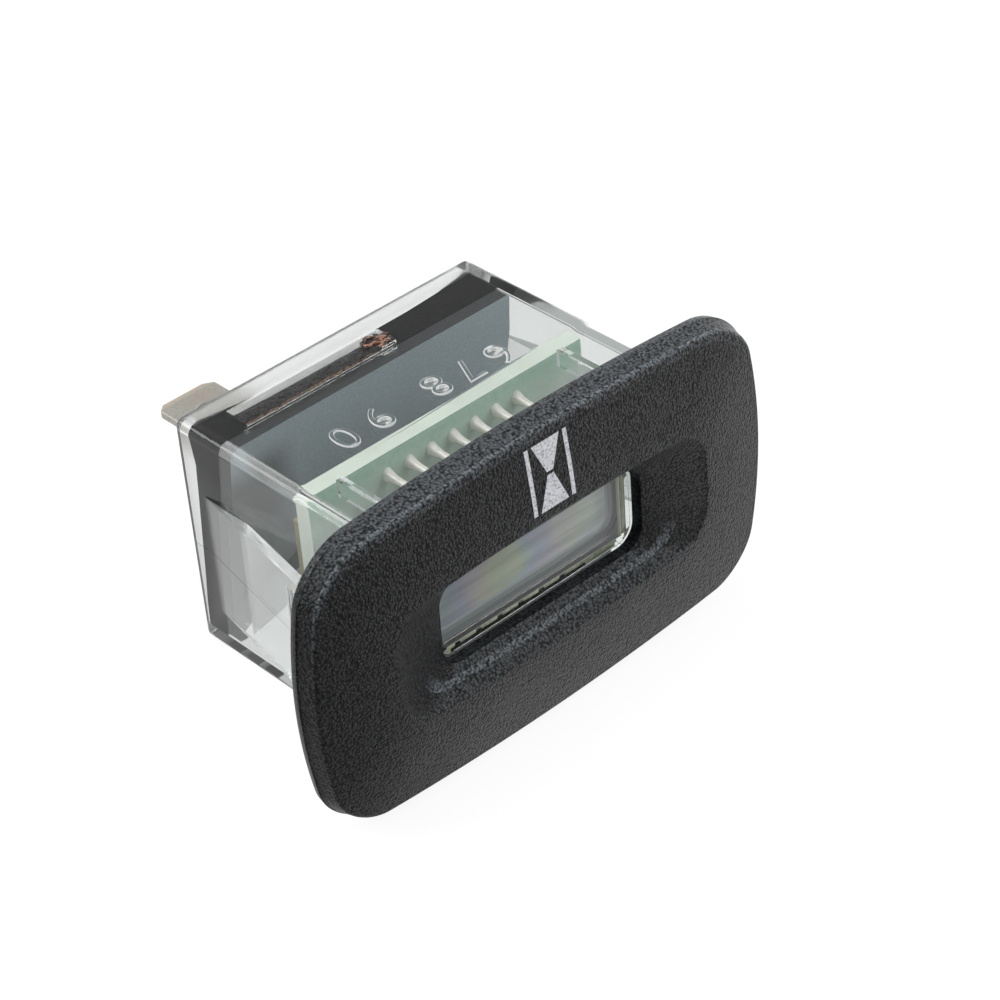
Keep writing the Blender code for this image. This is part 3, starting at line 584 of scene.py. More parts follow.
def row_mesh(name, sections):
    """One point for each section, which carries the section's values."""
    mesh = bpy.data.meshes.new(name)
    mesh.from_pydata([(0, level, 0) for values, level in sections], [], [])
    for label, kind in (("half_size", "FLOAT_VECTOR"), ("bulge", "FLOAT_VECTOR"), ("corner", "FLOAT")):
        mesh.attributes.new(label, kind, "POINT")
    for number, ((half_x, half_z, radius, bow_x, bow_z), level) in enumerate(sections):
        mesh.attributes["half_size"].data[number].vector = (half_x, 0, half_z)
        mesh.attributes["bulge"].data[number].vector = (bow_x, 0, bow_z)
        mesh.attributes["corner"].data[number].value = radius
    return mesh


bezel = run_tree(
    "bezel_moulding",
    row_mesh("bezel_rows", sections),
    spin_tree,
    {"Points around": 256, "Corner share": 0.45, "Finish": black_abs},
)
tidy_mesh(bezel.data)
rounding = bezel.modifiers.new("tool_radius", "BEVEL")
rounding.width = 0.08 * mm
rounding.segments = 2
rounding.limit_method = "ANGLE"
rounding.angle_limit = math.radians(28)
bezel.data.shade_smooth()
evened = bezel.modifiers.new("flat_faces_stay_flat", "WEIGHTED_NORMAL")
evened.weight = 50
bake_modifiers(bezel)
show(bezel, "bezel", "bezel")

# %% [markdown]
# ## Clear case
# Polycarbonate, moulded in a polished tool: one shell with lens, tube, tongues and ribs. The CAD solid already has
# the right form, so a copy of it is merged and cleaned. Its edges get the small radius that every mould has, since a
# clear part shows itself mainly by what its edges bend and reflect.

# %% Light through clear pieces


def let_lamps_through(finish, tint, inner_glow):
    """Let lamp rays pass straight through a clear finish, and end a ray that is trapped in it on an even glow."""
    tree = finish.node_tree
    path = add_node(tree, "ShaderNodeLightPath")
    open_way = add_node(tree, "ShaderNodeBsdfTransparent", inputs={"Color": linear(tint)})
    solid = tree.nodes["Principled BSDF"].outputs[0]
    lit = add_node(tree, "ShaderNodeMixShader", inputs={0: path.outputs["Is Shadow Ray"], 1: solid, 2: open_way})
    trapped = maths(tree, "GREATER_THAN", path.outputs["Ray Depth"], trapped_depth)
    glow = add_node(tree, "ShaderNodeEmission", inputs={"Color": linear(inner_glow), "Strength": 1.0})
    mixed = add_node(tree, "ShaderNodeMixShader", inputs={0: trapped, 1: lit, 2: glow})
    tree.links.new(mixed.outputs[0], tree.nodes["Material Output"].inputs["Surface"])


trapped_depth = 5.5
print("clear pieces cast tinted shadows")

# %% [markdown]
# ## Clear case: the finish
# Clear plastic is never perfectly even: the melt leaves faint flow waves. A hairline runs round the outside at half
# height, where the two halves of the tool met. Behind the potting the skirt was never polished, so it is frosted on
# the inside, and the tongues are whitened by the stress of being bent. All of it comes from the place on the part,
# so it stays put when the part is turned.

# %% Clear case finish
skirt_start = case_high.y - 2.2 * mm
parting_z = -0.95 * mm
wall_inside_x = 16.8 * mm
clear_pc, tree, shader = new_finish("clear polycarbonate, polished mould", {"IOR": 1.585, "Transmission Weight": 1.0})
place = add_node(tree, "ShaderNodeTexCoord").outputs["Object"]
parts = add_node(tree, "ShaderNodeSeparateXYZ", inputs={0: place})
flow = add_node(tree, "ShaderNodeTexNoise", inputs={"Vector": place, "Scale": 1 / (5 * mm), "Detail": 1.0})
haze = remap(tree, flow.outputs["Fac"], (0.0, 1.0), (0.0, 0.05))
aside = maths(tree, "ABSOLUTE", parts.outputs["X"])
outside = maths(tree, "GREATER_THAN", aside, wall_inside_x)
behind = maths(tree, "GREATER_THAN", parts.outputs["Y"], skirt_start)
skirt = maths(tree, "SUBTRACT", behind, outside)
frosted = maths(tree, "MULTIPLY_ADD", skirt, 0.3, haze)
tree.links.new(frosted.outputs[0], shader.inputs["Roughness"])
from_parting = maths(tree, "COMPARE", parts.outputs["Z"], parting_z, 0.03 * mm)
hairline = maths(tree, "MULTIPLY", from_parting, outside)
tree.links.new(ramp(tree, hairline.outputs[0], [(0.0, "#f9fbfa"), (1.0, "#5b5f60")]), shader.inputs["Base Color"])
bump = add_node(
    tree, "ShaderNodeBump", inputs={"Strength": 0.12, "Distance": 0.05 * mm, "Height": flow.outputs["Fac"]}
)
tree.links.new(bump.outputs["Normal"], shader.inputs["Normal"])
on_tongue = remap(tree, aside, (17.42 * mm, 17.6 * mm), (1.0, 0.74))
tree.links.new(on_tongue.outputs[0], shader.inputs["Transmission Weight"])
let_lamps_through(clear_pc, "#fafcfb", "#b4b9b8")
print("clear plastic bends light by", shader.inputs["IOR"].default_value)

# %% Copies of CAD solids


def cad_copy(node, name, finish):
    """A merged copy of a CAD node's mesh, with its flat faces whole again."""
    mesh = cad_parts[node].data.copy()
    mesh.name = name
    item = bpy.data.objects.new(name, mesh)
    bpy.context.scene.collection.objects.link(item)
    shape = bmesh.new()
    shape.from_mesh(mesh)
    bmesh.ops.remove_doubles(shape, verts=shape.verts, dist=0.002 * mm)
    bmesh.ops.dissolve_limit(shape, angle_limit=math.radians(0.5), verts=shape.verts, edges=shape.edges)
    bmesh.ops.triangulate(shape, faces=[face for face in shape.faces if len(face.verts) > 4])
    bmesh.ops.recalc_face_normals(shape, faces=shape.faces)
    shape.to_mesh(mesh)
    shape.free()
    mesh.materials.clear()
    mesh.materials.append(finish)
    return item


def round_edges(item, width, weight):
    """Give a moulded piece its tool radius, and shading that keeps its flat faces flat."""
    rounding = item.modifiers.new("tool_radius", "BEVEL")
    rounding.width = width
    rounding.segments = 2
    rounding.limit_method = "ANGLE"
    rounding.angle_limit = math.radians(28)
    bake_modifiers(item)
    item.data.shade_smooth()
    evened = item.modifiers.new("flat_faces_stay_flat", "WEIGHTED_NORMAL")
    evened.weight = weight


case = cad_copy("clear_case", "clear_case_moulding", clear_pc)
rim_start_x = 16.3 * mm
rim_start_z = 11.0 * mm
shape = bmesh.new()
shape.from_mesh(case.data)
weight = shape.edges.layers.float.new("bevel_weight_edge")
for edge in shape.edges:
    on_rim = [
        point.co.y > case_high.y - 0.01 * mm
        and (abs(point.co.x) > rim_start_x or abs(point.co.z) > rim_start_z)
        for point in edge.verts
    ]
    edge[weight] = float(all(on_rim))
shape.to_mesh(case.data)
shape.free()
rim_rounding = case.modifiers.new("rear_rim", "BEVEL")
rim_rounding.width = 0.22 * mm
rim_rounding.segments = 4
rim_rounding.limit_method = "WEIGHT"
round_edges(case, 0.07 * mm, 100)
print("case faces:", len(case.data.polygons))

# %% [markdown]
# ## Raised digits on the case
# The tool maker engraves plain digits in the mould, and they come out raised on the clear top wall, where only their
# outlines catch the light. They are text, thinned with a negative offset until a stroke is a quarter of a
# millimetre wide, and then joined to the wall with a Boolean. A digit that only lay on the wall would keep a surface
# under it, and clear plastic would show that surface as a dark line. Their tops are polished, and their slopes are
# frosted by the spark erosion that cut them in the tool.

# %% Raised digits
digit_height = 3.4 * mm
digit_rise = 0.07 * mm
slope_width = 0.07 * mm
frosted_pc, tree, shader = new_finish(
    "clear polycarbonate, spark-eroded slopes",
    {"Base Color": linear("#f4f6f6"), "IOR": 1.585, "Transmission Weight": 0.35, "Roughness": 0.5},
)
place = add_node(tree, "ShaderNodeTexCoord").outputs["Object"]
pits = add_node(tree, "ShaderNodeTexNoise", inputs={"Vector": place, "Scale": 1 / (0.1 * mm)})
rough = remap(tree, pits.outputs["Fac"], (0.0, 1.0), (0.35, 0.65))
tree.links.new(rough.outputs[0], shader.inputs["Roughness"])
case.data.materials.append(frosted_pc)
digit_places = {"6": (8.1, 11.2), "7": (4.5, 11.5), "8": (1.1, 11.8), "9": (-5.5, 11.9), "0": (-9.4, 11.9)}
all_digits = bmesh.new()
for digit, (x, y) in digit_places.items():
    words = bpy.data.curves.new(f"digit_{digit}", "FONT")
    words.body = digit
    words.size = digit_height / 0.72
    words.offset = -slope_width
    words.extrude = digit_rise
    words.bevel_depth = slope_width
    words.bevel_resolution = 0
    words.align_x = "CENTER"
    written = bpy.data.objects.new(f"digit_{digit}", words)
    bpy.context.scene.collection.objects.link(written)
    view = bpy.context.evaluated_depsgraph_get()
    mesh = bpy.data.meshes.new_from_object(written.evaluated_get(view))
    bpy.data.objects.remove(written)
    half_turn = Matrix.Rotation(math.pi, 4, "Z")
    onto_wall = Matrix.Translation((x * mm, y * mm + digit_height / 2, body_half_z))
    mesh.transform(onto_wall @ half_turn)
    all_digits.from_mesh(mesh)
bmesh.ops.remove_doubles(all_digits, verts=all_digits.verts, dist=0.001 * mm)
bmesh.ops.recalc_face_normals(all_digits, faces=all_digits.faces)
for face in all_digits.faces:
    face.material_index = int(abs(face.normal.z) < 0.95)
digits_mesh = bpy.data.meshes.new("digits")
digits_mesh.materials.append(clear_pc)
digits_mesh.materials.append(frosted_pc)
all_digits.to_mesh(digits_mesh)
all_digits.free()
digits = bpy.data.objects.new("digits", digits_mesh)
bpy.context.scene.collection.objects.link(digits)
joined = case.modifiers.new("raised_digits", "BOOLEAN")
joined.operation = "UNION"
joined.solver = "EXACT"
joined.object = digits
case.modifiers.move(len(case.modifiers) - 1, 0)
bake_modifiers(case)
bpy.data.objects.remove(digits)
show(case, "clear_case", "clear_case")

# %% [markdown]
# ## Mottled finishes
# Most inner pieces are cast, moulded or rolled, and need the same three things: a colour that wanders between two
# or three tones, a relief at the size of the real grain, and a gloss. One function makes such a finish, and what a
# piece has beyond that is added to its nodes afterwards.

# %% Helper for mottled finishes


def mottled(name, values, grain, stops, depth):
    """A finish whose colour and relief follow one noise pattern of a given grain size."""
    finish, tree, shader = new_finish(name, values)
    place = add_node(tree, "ShaderNodeTexCoord").outputs["Object"]
    tones = add_node(
        tree,
        "ShaderNodeTexNoise",
        {"label": "tones"},
        {"Vector": place, "Scale": 1 / grain, "Detail": 3.0, "Roughness": 0.6},
    )
    colour = ramp(tree, tones.outputs["Fac"], stops)
    relief = add_node(
        tree,
        "ShaderNodeBump",
        {"label": "relief"},
        {"Strength": 1.0, "Distance": depth, "Height": tones.outputs["Fac"]},
    )
    tree.links.new(colour, shader.inputs["Base Color"])
    tree.links.new(relief.outputs["Normal"], shader.inputs["Normal"])
    return finish, tree, shader, place, colour


def dress(finish, *names):
    """Give CAD nodes a finish."""
    for name in names:
        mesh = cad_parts[name].data
        mesh.materials.clear()
        mesh.materials.append(finish)
    print(finish.name, "on", len(names))


print("mottled finishes ready")

# %% [markdown]
# ## Potting
# Black casting resin closes the rear and rises into the slot. Resin wets the plastic: there is no air between them,
# so the case shows it dark and without a reflection. The copy of the CAD solid is therefore swollen by a hair, until
# it just enters the walls, and the clear wall then ends on resin instead of on air.

# %% Potting finish
cast_resin, tree, shader, place, colour = mottled(
    "black potting resin, cast",
    {"Roughness": 0.55, "IOR": 1.5, "Specular IOR Level": 0.3},
    0.16 * mm,
    [(0.3, "#0b0b0c"), (0.55, "#18181a"), (0.8, "#2c2a2b")],
    0.03 * mm,
)

# %% Potting
wetting = 0.12 * mm
slot_low_y = 20.03 * mm
slot_high_y = 22.82 * mm
fill_low = 11.05 * mm
fill_high = 12.1 * mm


def fill_level(y):
    """Height of the resin across the slot: it was tipped while it set, so it is full at the front edge."""
    share = min(max((slot_high_y - y) / (slot_high_y - slot_low_y), 0.0), 1.0)
    return fill_low + (fill_high - fill_low) * share ** 0.8


potting = cad_copy("potting", "potting_cast", cast_resin)
shape = bmesh.new()
shape.from_mesh(potting.data)
wall_z = 10.9 * mm
for point in shape.verts:
    if point.co.z > wall_z:
        point.co.z = min(point.co.z, fill_level(point.co.y) - 0.15 * mm)
shape.normal_update()
moved = {point: point.co + point.normal * wetting * point.calc_shell_factor() for point in shape.verts}
for point, new_place in moved.items():
    point.co = new_place
shape.to_mesh(potting.data)
shape.free()
show(potting, "potting", "potting")

# %% [markdown]
# ## Resin in the slot
# Where the resin set in the open slot it is rough, like fine black sand, and dull tan where it dried along the front
# edge. The sand is real relief: a fine grid whose points are lifted by noise and then given thickness.

# %% Sandy resin finish
sandy_resin, tree, shader, place, colour = mottled(
    "black resin, set in the open",
    {"Roughness": 0.35, "IOR": 1.5},
    0.12 * mm,
    [(0.35, "#040404"), (0.56, "#101010"), (0.66, "#4a4743"), (0.75, "#6d6862")],
    0.08 * mm,
)
parts = add_node(tree, "ShaderNodeSeparateXYZ", inputs={0: place})
wander = add_node(tree, "ShaderNodeTexNoise", inputs={"Vector": place, "Scale": 1 / (1.6 * mm), "Detail": 3.0})
edge_line = maths(tree, "MULTIPLY_ADD", wander.outputs["Fac"], -0.8 * mm, parts.outputs["Y"])
dried = remap(tree, edge_line, (slot_low_y - 0.44 * mm, slot_low_y - 0.38 * mm), (0.6, 0.0))
tanned = mix_colours(tree, dried, colour, linear("#a8876c"))
tree.links.new(tanned, shader.inputs["Base Color"])
print("sandy resin ready")

# %% Resin in the slot
slot_low_x = -13.55 * mm
slot_high_x = 3.65 * mm
bead_low, bead_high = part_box("resin_bead")
fill_end_x = bead_low.x + 0.4 * mm
sand = 0.1 * mm
shape = bmesh.new()
bmesh.ops.create_grid(shape, x_segments=150, y_segments=27, size=0.5)
for point in shape.verts:
    x = slot_low_x + (point.co.x + 0.5) * (fill_end_x - slot_low_x)
    y = slot_low_y + (point.co.y + 0.5) * (slot_high_y - slot_low_y)
    rough = noise.noise(Vector((x, y, 0)) / (0.17 * mm)) + 0.5 * noise.noise(Vector((x, y, 9)) / (0.7 * mm))
    point.co = (x, y, fill_level(y) + sand * rough)
slot_mesh = bpy.data.meshes.new("slot_resin")
shape.to_mesh(slot_mesh)
shape.free()
slot_mesh.materials.append(sandy_resin)
slot_resin = bpy.data.objects.new("slot_resin", slot_mesh)
bpy.context.scene.collection.objects.link(slot_resin)
depth = slot_resin.modifiers.new("depth", "SOLIDIFY")
depth.thickness = 0.4 * mm
depth.offset = -1.0
bake_modifiers(slot_resin)
slot_resin.data.shade_smooth()
show(slot_resin, "potting")

# %% [markdown]
# ## Amber bead
# At the slot's right end a different, amber resin ran in and set in folds. It is glossy and nearly black, with pinkish
# tan patches set by noise, which are partly the resin's own amber tone and partly painted highlights. A ball is
# stretched to the CAD bead's box, and noise of two sizes pushes its skin into folds. The colour pattern is drawn out
# along the slot, as the resin ran.

# %% Amber bead finish
# The pinkish tan stops are partly the resin's own tone and partly painted highlights.
amber, tree, shader, place, colour = mottled(
    "amber resin, set in folds",
    {"Roughness": 0.12, "IOR": 1.5, "Coat Weight": 0.4, "Coat Roughness": 0.05},
    0.4 * mm,
    [(0.38, "#050404"), (0.5, "#120c0a"), (0.56, "#5c3a2a"), (0.61, "#c9987e"), (0.66, "#1a100c")],
    0.05 * mm,
)
drawn_out = add_node(
    tree, "ShaderNodeMapping", inputs={"Vector": place, "Rotation": (0, 0, 0.2), "Scale": (0.28, 1.0, 1.0)}
)
for node in tree.nodes:
    if node.label == "tones":
        tree.links.new(drawn_out.outputs[0], node.inputs["Vector"])
print("folds drawn out along the slot")

# %% Amber bead


def folded_lump(name, middle, half_size, fold, finish):
    """A closed lump whose skin is pushed into folds by noise."""
    shape = bmesh.new()
    bmesh.ops.create_icosphere(shape, subdivisions=5, radius=1.0)
    for point in shape.verts:
        direction = point.co.normalized()
        push = noise.noise(direction * 1.7 + middle / (3 * mm)) + 0.5 * noise.noise(direction * 4.1)
        squarer = Vector([math.copysign(abs(side) ** 0.75, side) for side in direction])
        grown = squarer * (1.0 + fold * push)
        point.co = middle + Vector([side * half for side, half in zip(grown, half_size)])
    mesh = bpy.data.meshes.new(name)
    shape.to_mesh(mesh)
    shape.free()
    mesh.materials.append(finish)
    mesh.shade_smooth()
    item = bpy.data.objects.new(name, mesh)
    bpy.context.scene.collection.objects.link(item)
    return item


bead_middle = Vector(((bead_low.x + bead_high.x) / 2, (slot_low_y + slot_high_y) / 2 - 0.1 * mm, 11.35 * mm))
bead = folded_lump("amber_bead", bead_middle, (1.35 * mm, 1.3 * mm, 0.6 * mm), 0.35, amber)
show(bead, "resin_bead", "resin_bead")

# %% [markdown]
# ## Carrier and board
# The carrier is a grey moulded plate, whose rim is wetted by the black resin that was cast behind it, and which is
# painted darker near its left end and lower down, as painted shade. The board is glass-fibre laminate: pale green
# resist on its faces, paler lower down from about its upper row of pins, and the cream of the bare laminate where it
# was cut. The faces are told from the rim by the direction they face.

# %% Carrier finish
def by_facing(tree, shader, face_colour, rim_colour):
    """Colour a plate's two faces along Y one way and its rim another way."""
    facing = add_node(
        tree, "ShaderNodeSeparateXYZ", inputs={0: add_node(tree, "ShaderNodeTexCoord").outputs["Normal"]}
    )
    turned = maths(tree, "ABSOLUTE", facing.outputs["Y"])
    on_face = remap(tree, turned, (0.4, 0.6))
    cut = mix_colours(tree, on_face, linear(rim_colour), face_colour)
    tree.links.new(cut, shader.inputs["Base Color"])


carrier_plastic, tree, shader, place, colour = mottled(
    "grey nylon, moulded", {"Roughness": 0.5, "IOR": 1.53}, 0.2 * mm, [(0.3, "#8f989f"), (0.7, "#a3acb4")], 0.02 * mm
)
parts = add_node(tree, "ShaderNodeSeparateXYZ", inputs={0: place})
# The carrier's left end and lower part are painted darker: painted shade.
from_end = remap(tree, parts.outputs["X"], (-13.0 * mm, -9.0 * mm), (1.0, 0.0), smooth=True)
below = remap(tree, parts.outputs["Z"], (6.5 * mm, 10.0 * mm), (0.85, 0.0), smooth=True)
painted_shade_left_low = maths(tree, "MULTIPLY", from_end, below)
carrier_colour_painted_shade = mix_colours(tree, painted_shade_left_low, colour, linear("#4a4a4b"))
by_facing(tree, shader, carrier_colour_painted_shade, "#2c2e31")
dress(carrier_plastic, "terminal_carrier")

# %% Board finish
laminate, tree, shader, place, colour = mottled(
    "glass-fibre laminate with green resist",
    {"Roughness": 0.35, "IOR": 1.5, "Coat Weight": 0.3, "Coat Roughness": 0.15},
    0.6 * mm,
    [(0.3, "#acd0bd"), (0.7, "#c3e0d0")],
    0.01 * mm,
)
tracks = add_node(
    tree,
    "ShaderNodeTexBrick",
    {"offset": 0.37},
    {
        "Vector": place,
        "Color1": linear("#b6d6c5"),
        "Color2": linear("#accfbc"),
        "Mortar": linear("#cfe4d8"),
        "Scale": 1.0,
        "Mortar Size": 0.12 * mm,
        "Brick Width": 5.08 * mm,
        "Row Height": 1.27 * mm,
    },
)
side_on = add_node(tree, "ShaderNodeMapping", inputs={"Vector": place, "Rotation": (math.pi / 2, 0, 0)})
tree.links.new(side_on.outputs[0], tracks.inputs["Vector"])
resist = mix_colours(tree, 0.15, colour, tracks.outputs["Color"])
parts = add_node(tree, "ShaderNodeSeparateXYZ", inputs={0: place})
# The resist grows paler lower down, from about the upper row of pins.
flux = remap(tree, parts.outputs["Z"], (9.8 * mm, 7.2 * mm), (0.0, 0.75))
resist_paler_below = mix_colours(tree, flux, resist, linear("#f2fbf6"))
by_facing(tree, shader, resist_paler_below, "#dfe6dc")
dress(laminate, "circuit_board")

# %% [markdown]
# ## Solder, clips and sealant
# Every display pin ends in a hollow-sided cone of solder on both faces of the board, and in a clip on the glass. Both
# are repeats along a row of points, so a small tree puts one shape on each point. The shapes themselves come from
# the ring tree: a solder cone is only a few rows of shrinking rounded rectangles.

# %% Tree that copies a shape onto points
copy_tree, entry = new_tree("copies_on_points", {"Shape": "Object", "Finish": "Material"})
sample = add_node(copy_tree, "GeometryNodeObjectInfo", inputs={"Object": entry["Shape"]})
copies = add_node(
    copy_tree,
    "GeometryNodeInstanceOnPoints",
    inputs={"Points": entry["Geometry"], "Instance": sample.outputs["Geometry"]},
)
close_tree(copy_tree, entry, copies.outputs[0])
print("nodes in the tree:", len(copy_tree.nodes))

# %% Shapes made of rows
pole = (0.0002 * mm, 0.0002 * mm, 0.0001 * mm, 0.0, 0.0)


def closed_rows(name, rows, around, finish):
    """A closed shape from rows of half width, half height, corner and level, with a pole at each end."""
    values = [((wide, tall, corner, 0.0, 0.0), level) for wide, tall, corner, level in rows]
    whole = [(pole, rows[0][3]), *values, (pole, rows[-1][3])]
    item = run_tree(
        name,
        row_mesh(f"{name}_rows", whole),
        spin_tree,
        {"Points around": around, "Corner share": 0.6, "Finish": finish},
    )
    tidy_mesh(item.data)
    item.data.shade_smooth()
    return item


def copies_at(name, shape, places, finish):
    """One piece made of copies of a shape, whose own object is then dropped."""
    points = bpy.data.meshes.new(name)
    points.from_pydata(places, [], [])
    item = run_tree(name, points, copy_tree, {"Shape": shape, "Finish": finish})
    bpy.data.objects.remove(shape)
    return item


def solder_rows(wide, tall, neck, height, towards):
    """Rows of a solder cone with hollow sides, which stands on a pad and runs along its pin."""
    rows = [(wide, tall, wide, 0.0)]
    steps = 7
    for step in range(steps + 1):
        share = step / steps
        left = (1 - share) ** 3.0
        half_x = neck + (wide - neck) * left
        half_z = neck + (tall - neck) * left
        rows.append((half_x, half_z, 0.95 * min(half_x, half_z), towards * (0.05 * mm + height * share)))
    return rows


print("row shapes ready")

# %% Solder finish
solder, tree, shader, place, colour = mottled(
    "tin solder, set bright",
    {"Roughness": 0.25, "Metallic": 0.25},
    0.5 * mm,
    [(0.3, "#efe8e0"), (0.7, "#fffaf6")],
    0.02 * mm,
)

# %% Solder joints
board_low, board_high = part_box("circuit_board")
lcd_centre_z = 0.7 * mm
pin_rows = {"top": lcd_centre_z + 7.62 * mm, "bottom": lcd_centre_z - 7.62 * mm}
pin_places = {}
for row_name in pin_rows:
    ends = [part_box(f"lcd_pin_{row_name}_{number}") for number in range(1, 8)]
    pin_places[row_name] = [(low.x + high.x) / 2 for low, high in ends]
joint_pieces = []
for face_name, face_y, towards, neck, height in (
    ("front", board_low.y, -1, 0.33 * mm, 2.6 * mm),
    ("rear", board_high.y, 1, 0.25 * mm, 0.8 * mm),
):
    cone = closed_rows(f"solder_cone_{face_name}", solder_rows(0.55 * mm, 0.7 * mm, neck, height, towards), 24, solder)
    places = [(x, face_y, z) for row_name, z in pin_rows.items() for x in pin_places[row_name]]
    joints = copies_at(f"solder_joints_{face_name}", cone, places, solder)
    joints.data.shade_smooth()
    show(joints, "pins")

# %% Leg joints
for side, node in ((-1, "terminal_left"), (1, "terminal_right")):
    low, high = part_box(node)
    leg = closed_rows(f"leg_cone_{side}", solder_rows(1.1 * mm, 0.9 * mm, 0.25 * mm, 0.5 * mm, -1), 32, solder)
    joint = copies_at(f"leg_joint_{node}", leg, [((low.x + high.x) / 2, board_low.y, -2.5 * mm)], solder)
    joint.data.shade_smooth()
    show(joint, "terminals")

# %% Clip finish and sealant finish
clip_tin, tree, shader, place, colour = mottled(
    "tinned clip, dulled by flux",
    {"Roughness": 0.45, "Metallic": 0.3},
    0.3 * mm,
    [(0.35, "#b5ae93"), (0.6, "#f2ead0")],
    0.03 * mm,
)
# The sealant's near-black green is painted shade: the dark seen through the glass ledge into the case.
sealant, tree, shader, place, colour = mottled(
    "dark green epoxy sealant",
    {"Roughness": 0.2, "IOR": 1.5},
    0.8 * mm,
    [(0.3, "#0c120f"), (0.6, "#141c17"), (0.72, "#33423a")],
    0.05 * mm,
)

# %% Clips and sealant on the display's ledge
ledge_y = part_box("lcd_rear_glass")[0].y
clip_z = -6.03 * mm
seal_half_x = 12.2 * mm
seal_half_z = 1.32 * mm
seal_z = -6.7 * mm
seal_rows = []
for inset, depth in ((0.0, 0.0), (0.0, 0.2), (0.1, 0.32), (0.4, 0.4)):
    seal_rows.append((seal_half_x - inset * mm, seal_half_z - inset * mm, 0.5 * mm, -depth * mm))
# This dark strip along the ledge is a sealant piece whose colour is painted shade.
strip = closed_rows("sealant_shape", seal_rows, 64, sealant)
sealed = copies_at("ledge_sealant", strip, [(0, ledge_y, seal_z)], sealant)
sealed.data.shade_smooth()
show(sealed, "pins")


def flat_pad(half_x, half_z):
    """Rows of a thin pad with rounded corners and a broken front edge."""
    return [
        (half_x, half_z, 0.1 * mm, 0.0),
        (half_x, half_z, 0.1 * mm, -0.5 * mm),
        (half_x - 0.06 * mm, half_z - 0.06 * mm, 0.08 * mm, -0.56 * mm),
    ]


clip = closed_rows("clip_shape", flat_pad(0.95 * mm, 0.33 * mm), 24, clip_tin)
clip_shift = -0.9 * mm
clip_places = [(x + clip_shift, ledge_y, clip_z) for x in pin_places["bottom"]]
clips = copies_at("ledge_clips", clip, clip_places, clip_tin)
show(clips, "pins")
bus = closed_rows("bus_shape", flat_pad(2.35 * mm, 0.33 * mm), 24, clip_tin)
bus_bar = copies_at("ledge_bus", bus, [(10.0 * mm, ledge_y, clip_z)], clip_tin)
show(bus_bar, "pins")
pale_pad, tree, shader, place, colour = mottled(
    "pale green resist on the ledge",
    {"Roughness": 0.3, "IOR": 1.5},
    0.3 * mm,
    [(0.3, "#b9c9ae"), (0.7, "#dbe6cf")],
    0.01 * mm,
)
tail = closed_rows("tail_shape", flat_pad(1.85 * mm, 0.3 * mm), 24, pale_pad)
tail_pad = copies_at("ledge_tail", tail, [(10.3 * mm, ledge_y, clip_z - 0.68 * mm)], pale_pad)
show(tail_pad, "pins")

# %% End seal of the display
end_resin, tree, shader, place, colour = mottled(
    "yellowed end seal", {"Roughness": 0.25, "IOR": 1.5}, 0.5 * mm, [(0.3, "#a39f74"), (0.7, "#c6c198")], 0.02 * mm
)
parts = add_node(tree, "ShaderNodeSeparateXYZ", inputs={0: place})
glass_low, glass_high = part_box("lcd_front_glass")
seal_start = glass_high.x + 0.02 * mm
across_seal = remap(tree, parts.outputs["X"], (seal_start, seal_start + 0.6 * mm))
# Dark bands at the seal's two sides are painted shade; its yellowed middle is partly the seal's own tone and partly a
# painted lit glass edge.
painted_shade_stripes = ramp(
    tree,
    across_seal.outputs[0],
    [(0.0, "#3f3d2c"), (0.12, "#ffffff"), (0.72, "#ffffff"), (0.84, "#35332a"), (1.0, "#2a2924")],
)
seal_colour_painted_shade = add_node(
    tree, "ShaderNodeMix", {"data_type": "RGBA", "blend_type": "MULTIPLY"}, {0: 1.0, 6: colour, 7: painted_shade_stripes}
)
tree.links.new(seal_colour_painted_shade.outputs[2], shader.inputs["Base Color"])
seal_middle_z = (glass_low.z + glass_high.z) / 2
seal_rows = [(0.3 * mm, 5.9 * mm, 0.1 * mm, 0.0), (0.3 * mm, 5.9 * mm, 0.1 * mm, 2.1 * mm)]
seal = closed_rows("end_seal_shape", seal_rows, 24, end_resin)
end_seal = copies_at("end_seal", seal, [(seal_start + 0.3 * mm, glass_low.y, seal_middle_z)], end_resin)
show(end_seal, "pins")

# %% [markdown]
# ## Display
# A liquid crystal display that is off: grey-green film with a faint play of blue, violet and straw colours along it,
# as pressure and the rubbed glass give it. The window's light and shade are painted on it: the film is painted lighter
# towards the right, a painted shade of the window's edges lays a darker border along its sides and bottom, black
# beyond it, and a painted lit glass edge runs down its right side as a yellow-green band. The play follows streaks
# that run along the display, so the noise is stretched along X. The film reads only the place on the part.

# %% Polariser finish
lit_half_x = 10.65 * mm
lit_low_z = -3.0 * mm
lit_corner = 1.5 * mm
shade_border_width = 1.2 * mm
play_length = 9.2 * mm
polariser, tree, shader = new_finish("polariser film on glass", {"Roughness": 0.22, "IOR": 1.5})
place = add_node(tree, "ShaderNodeTexCoord").outputs["Object"]
parts = add_node(tree, "ShaderNodeSeparateXYZ", inputs={0: place})
drift = add_node(
    tree, "ShaderNodeTexNoise", inputs={"Vector": place, "Scale": 1 / (4 * mm), "Detail": 1.0, "Roughness": 0.4}
)
play_x = maths(tree, "MULTIPLY_ADD", parts.outputs["X"], 1 / play_length, drift.outputs["Fac"])
play = maths(tree, "MULTIPLY_ADD", parts.outputs["Z"], -0.3 / play_length, play_x)
cycle = maths(tree, "FRACT", play)
play_colour = ramp(
    tree,
    cycle.outputs[0],
    [
        (0.0, "#b2aab0"),
        (0.16, "#b7b39f"),
        (0.34, "#adb699"),
        (0.5, "#9fb1aa"),
        (0.66, "#98a4bb"),
        (0.84, "#a59fb6"),
        (1.0, "#b2aab0"),
    ],
)
to_right = remap(tree, parts.outputs["X"], (2 * mm, 9 * mm), (0.1, 0.75))
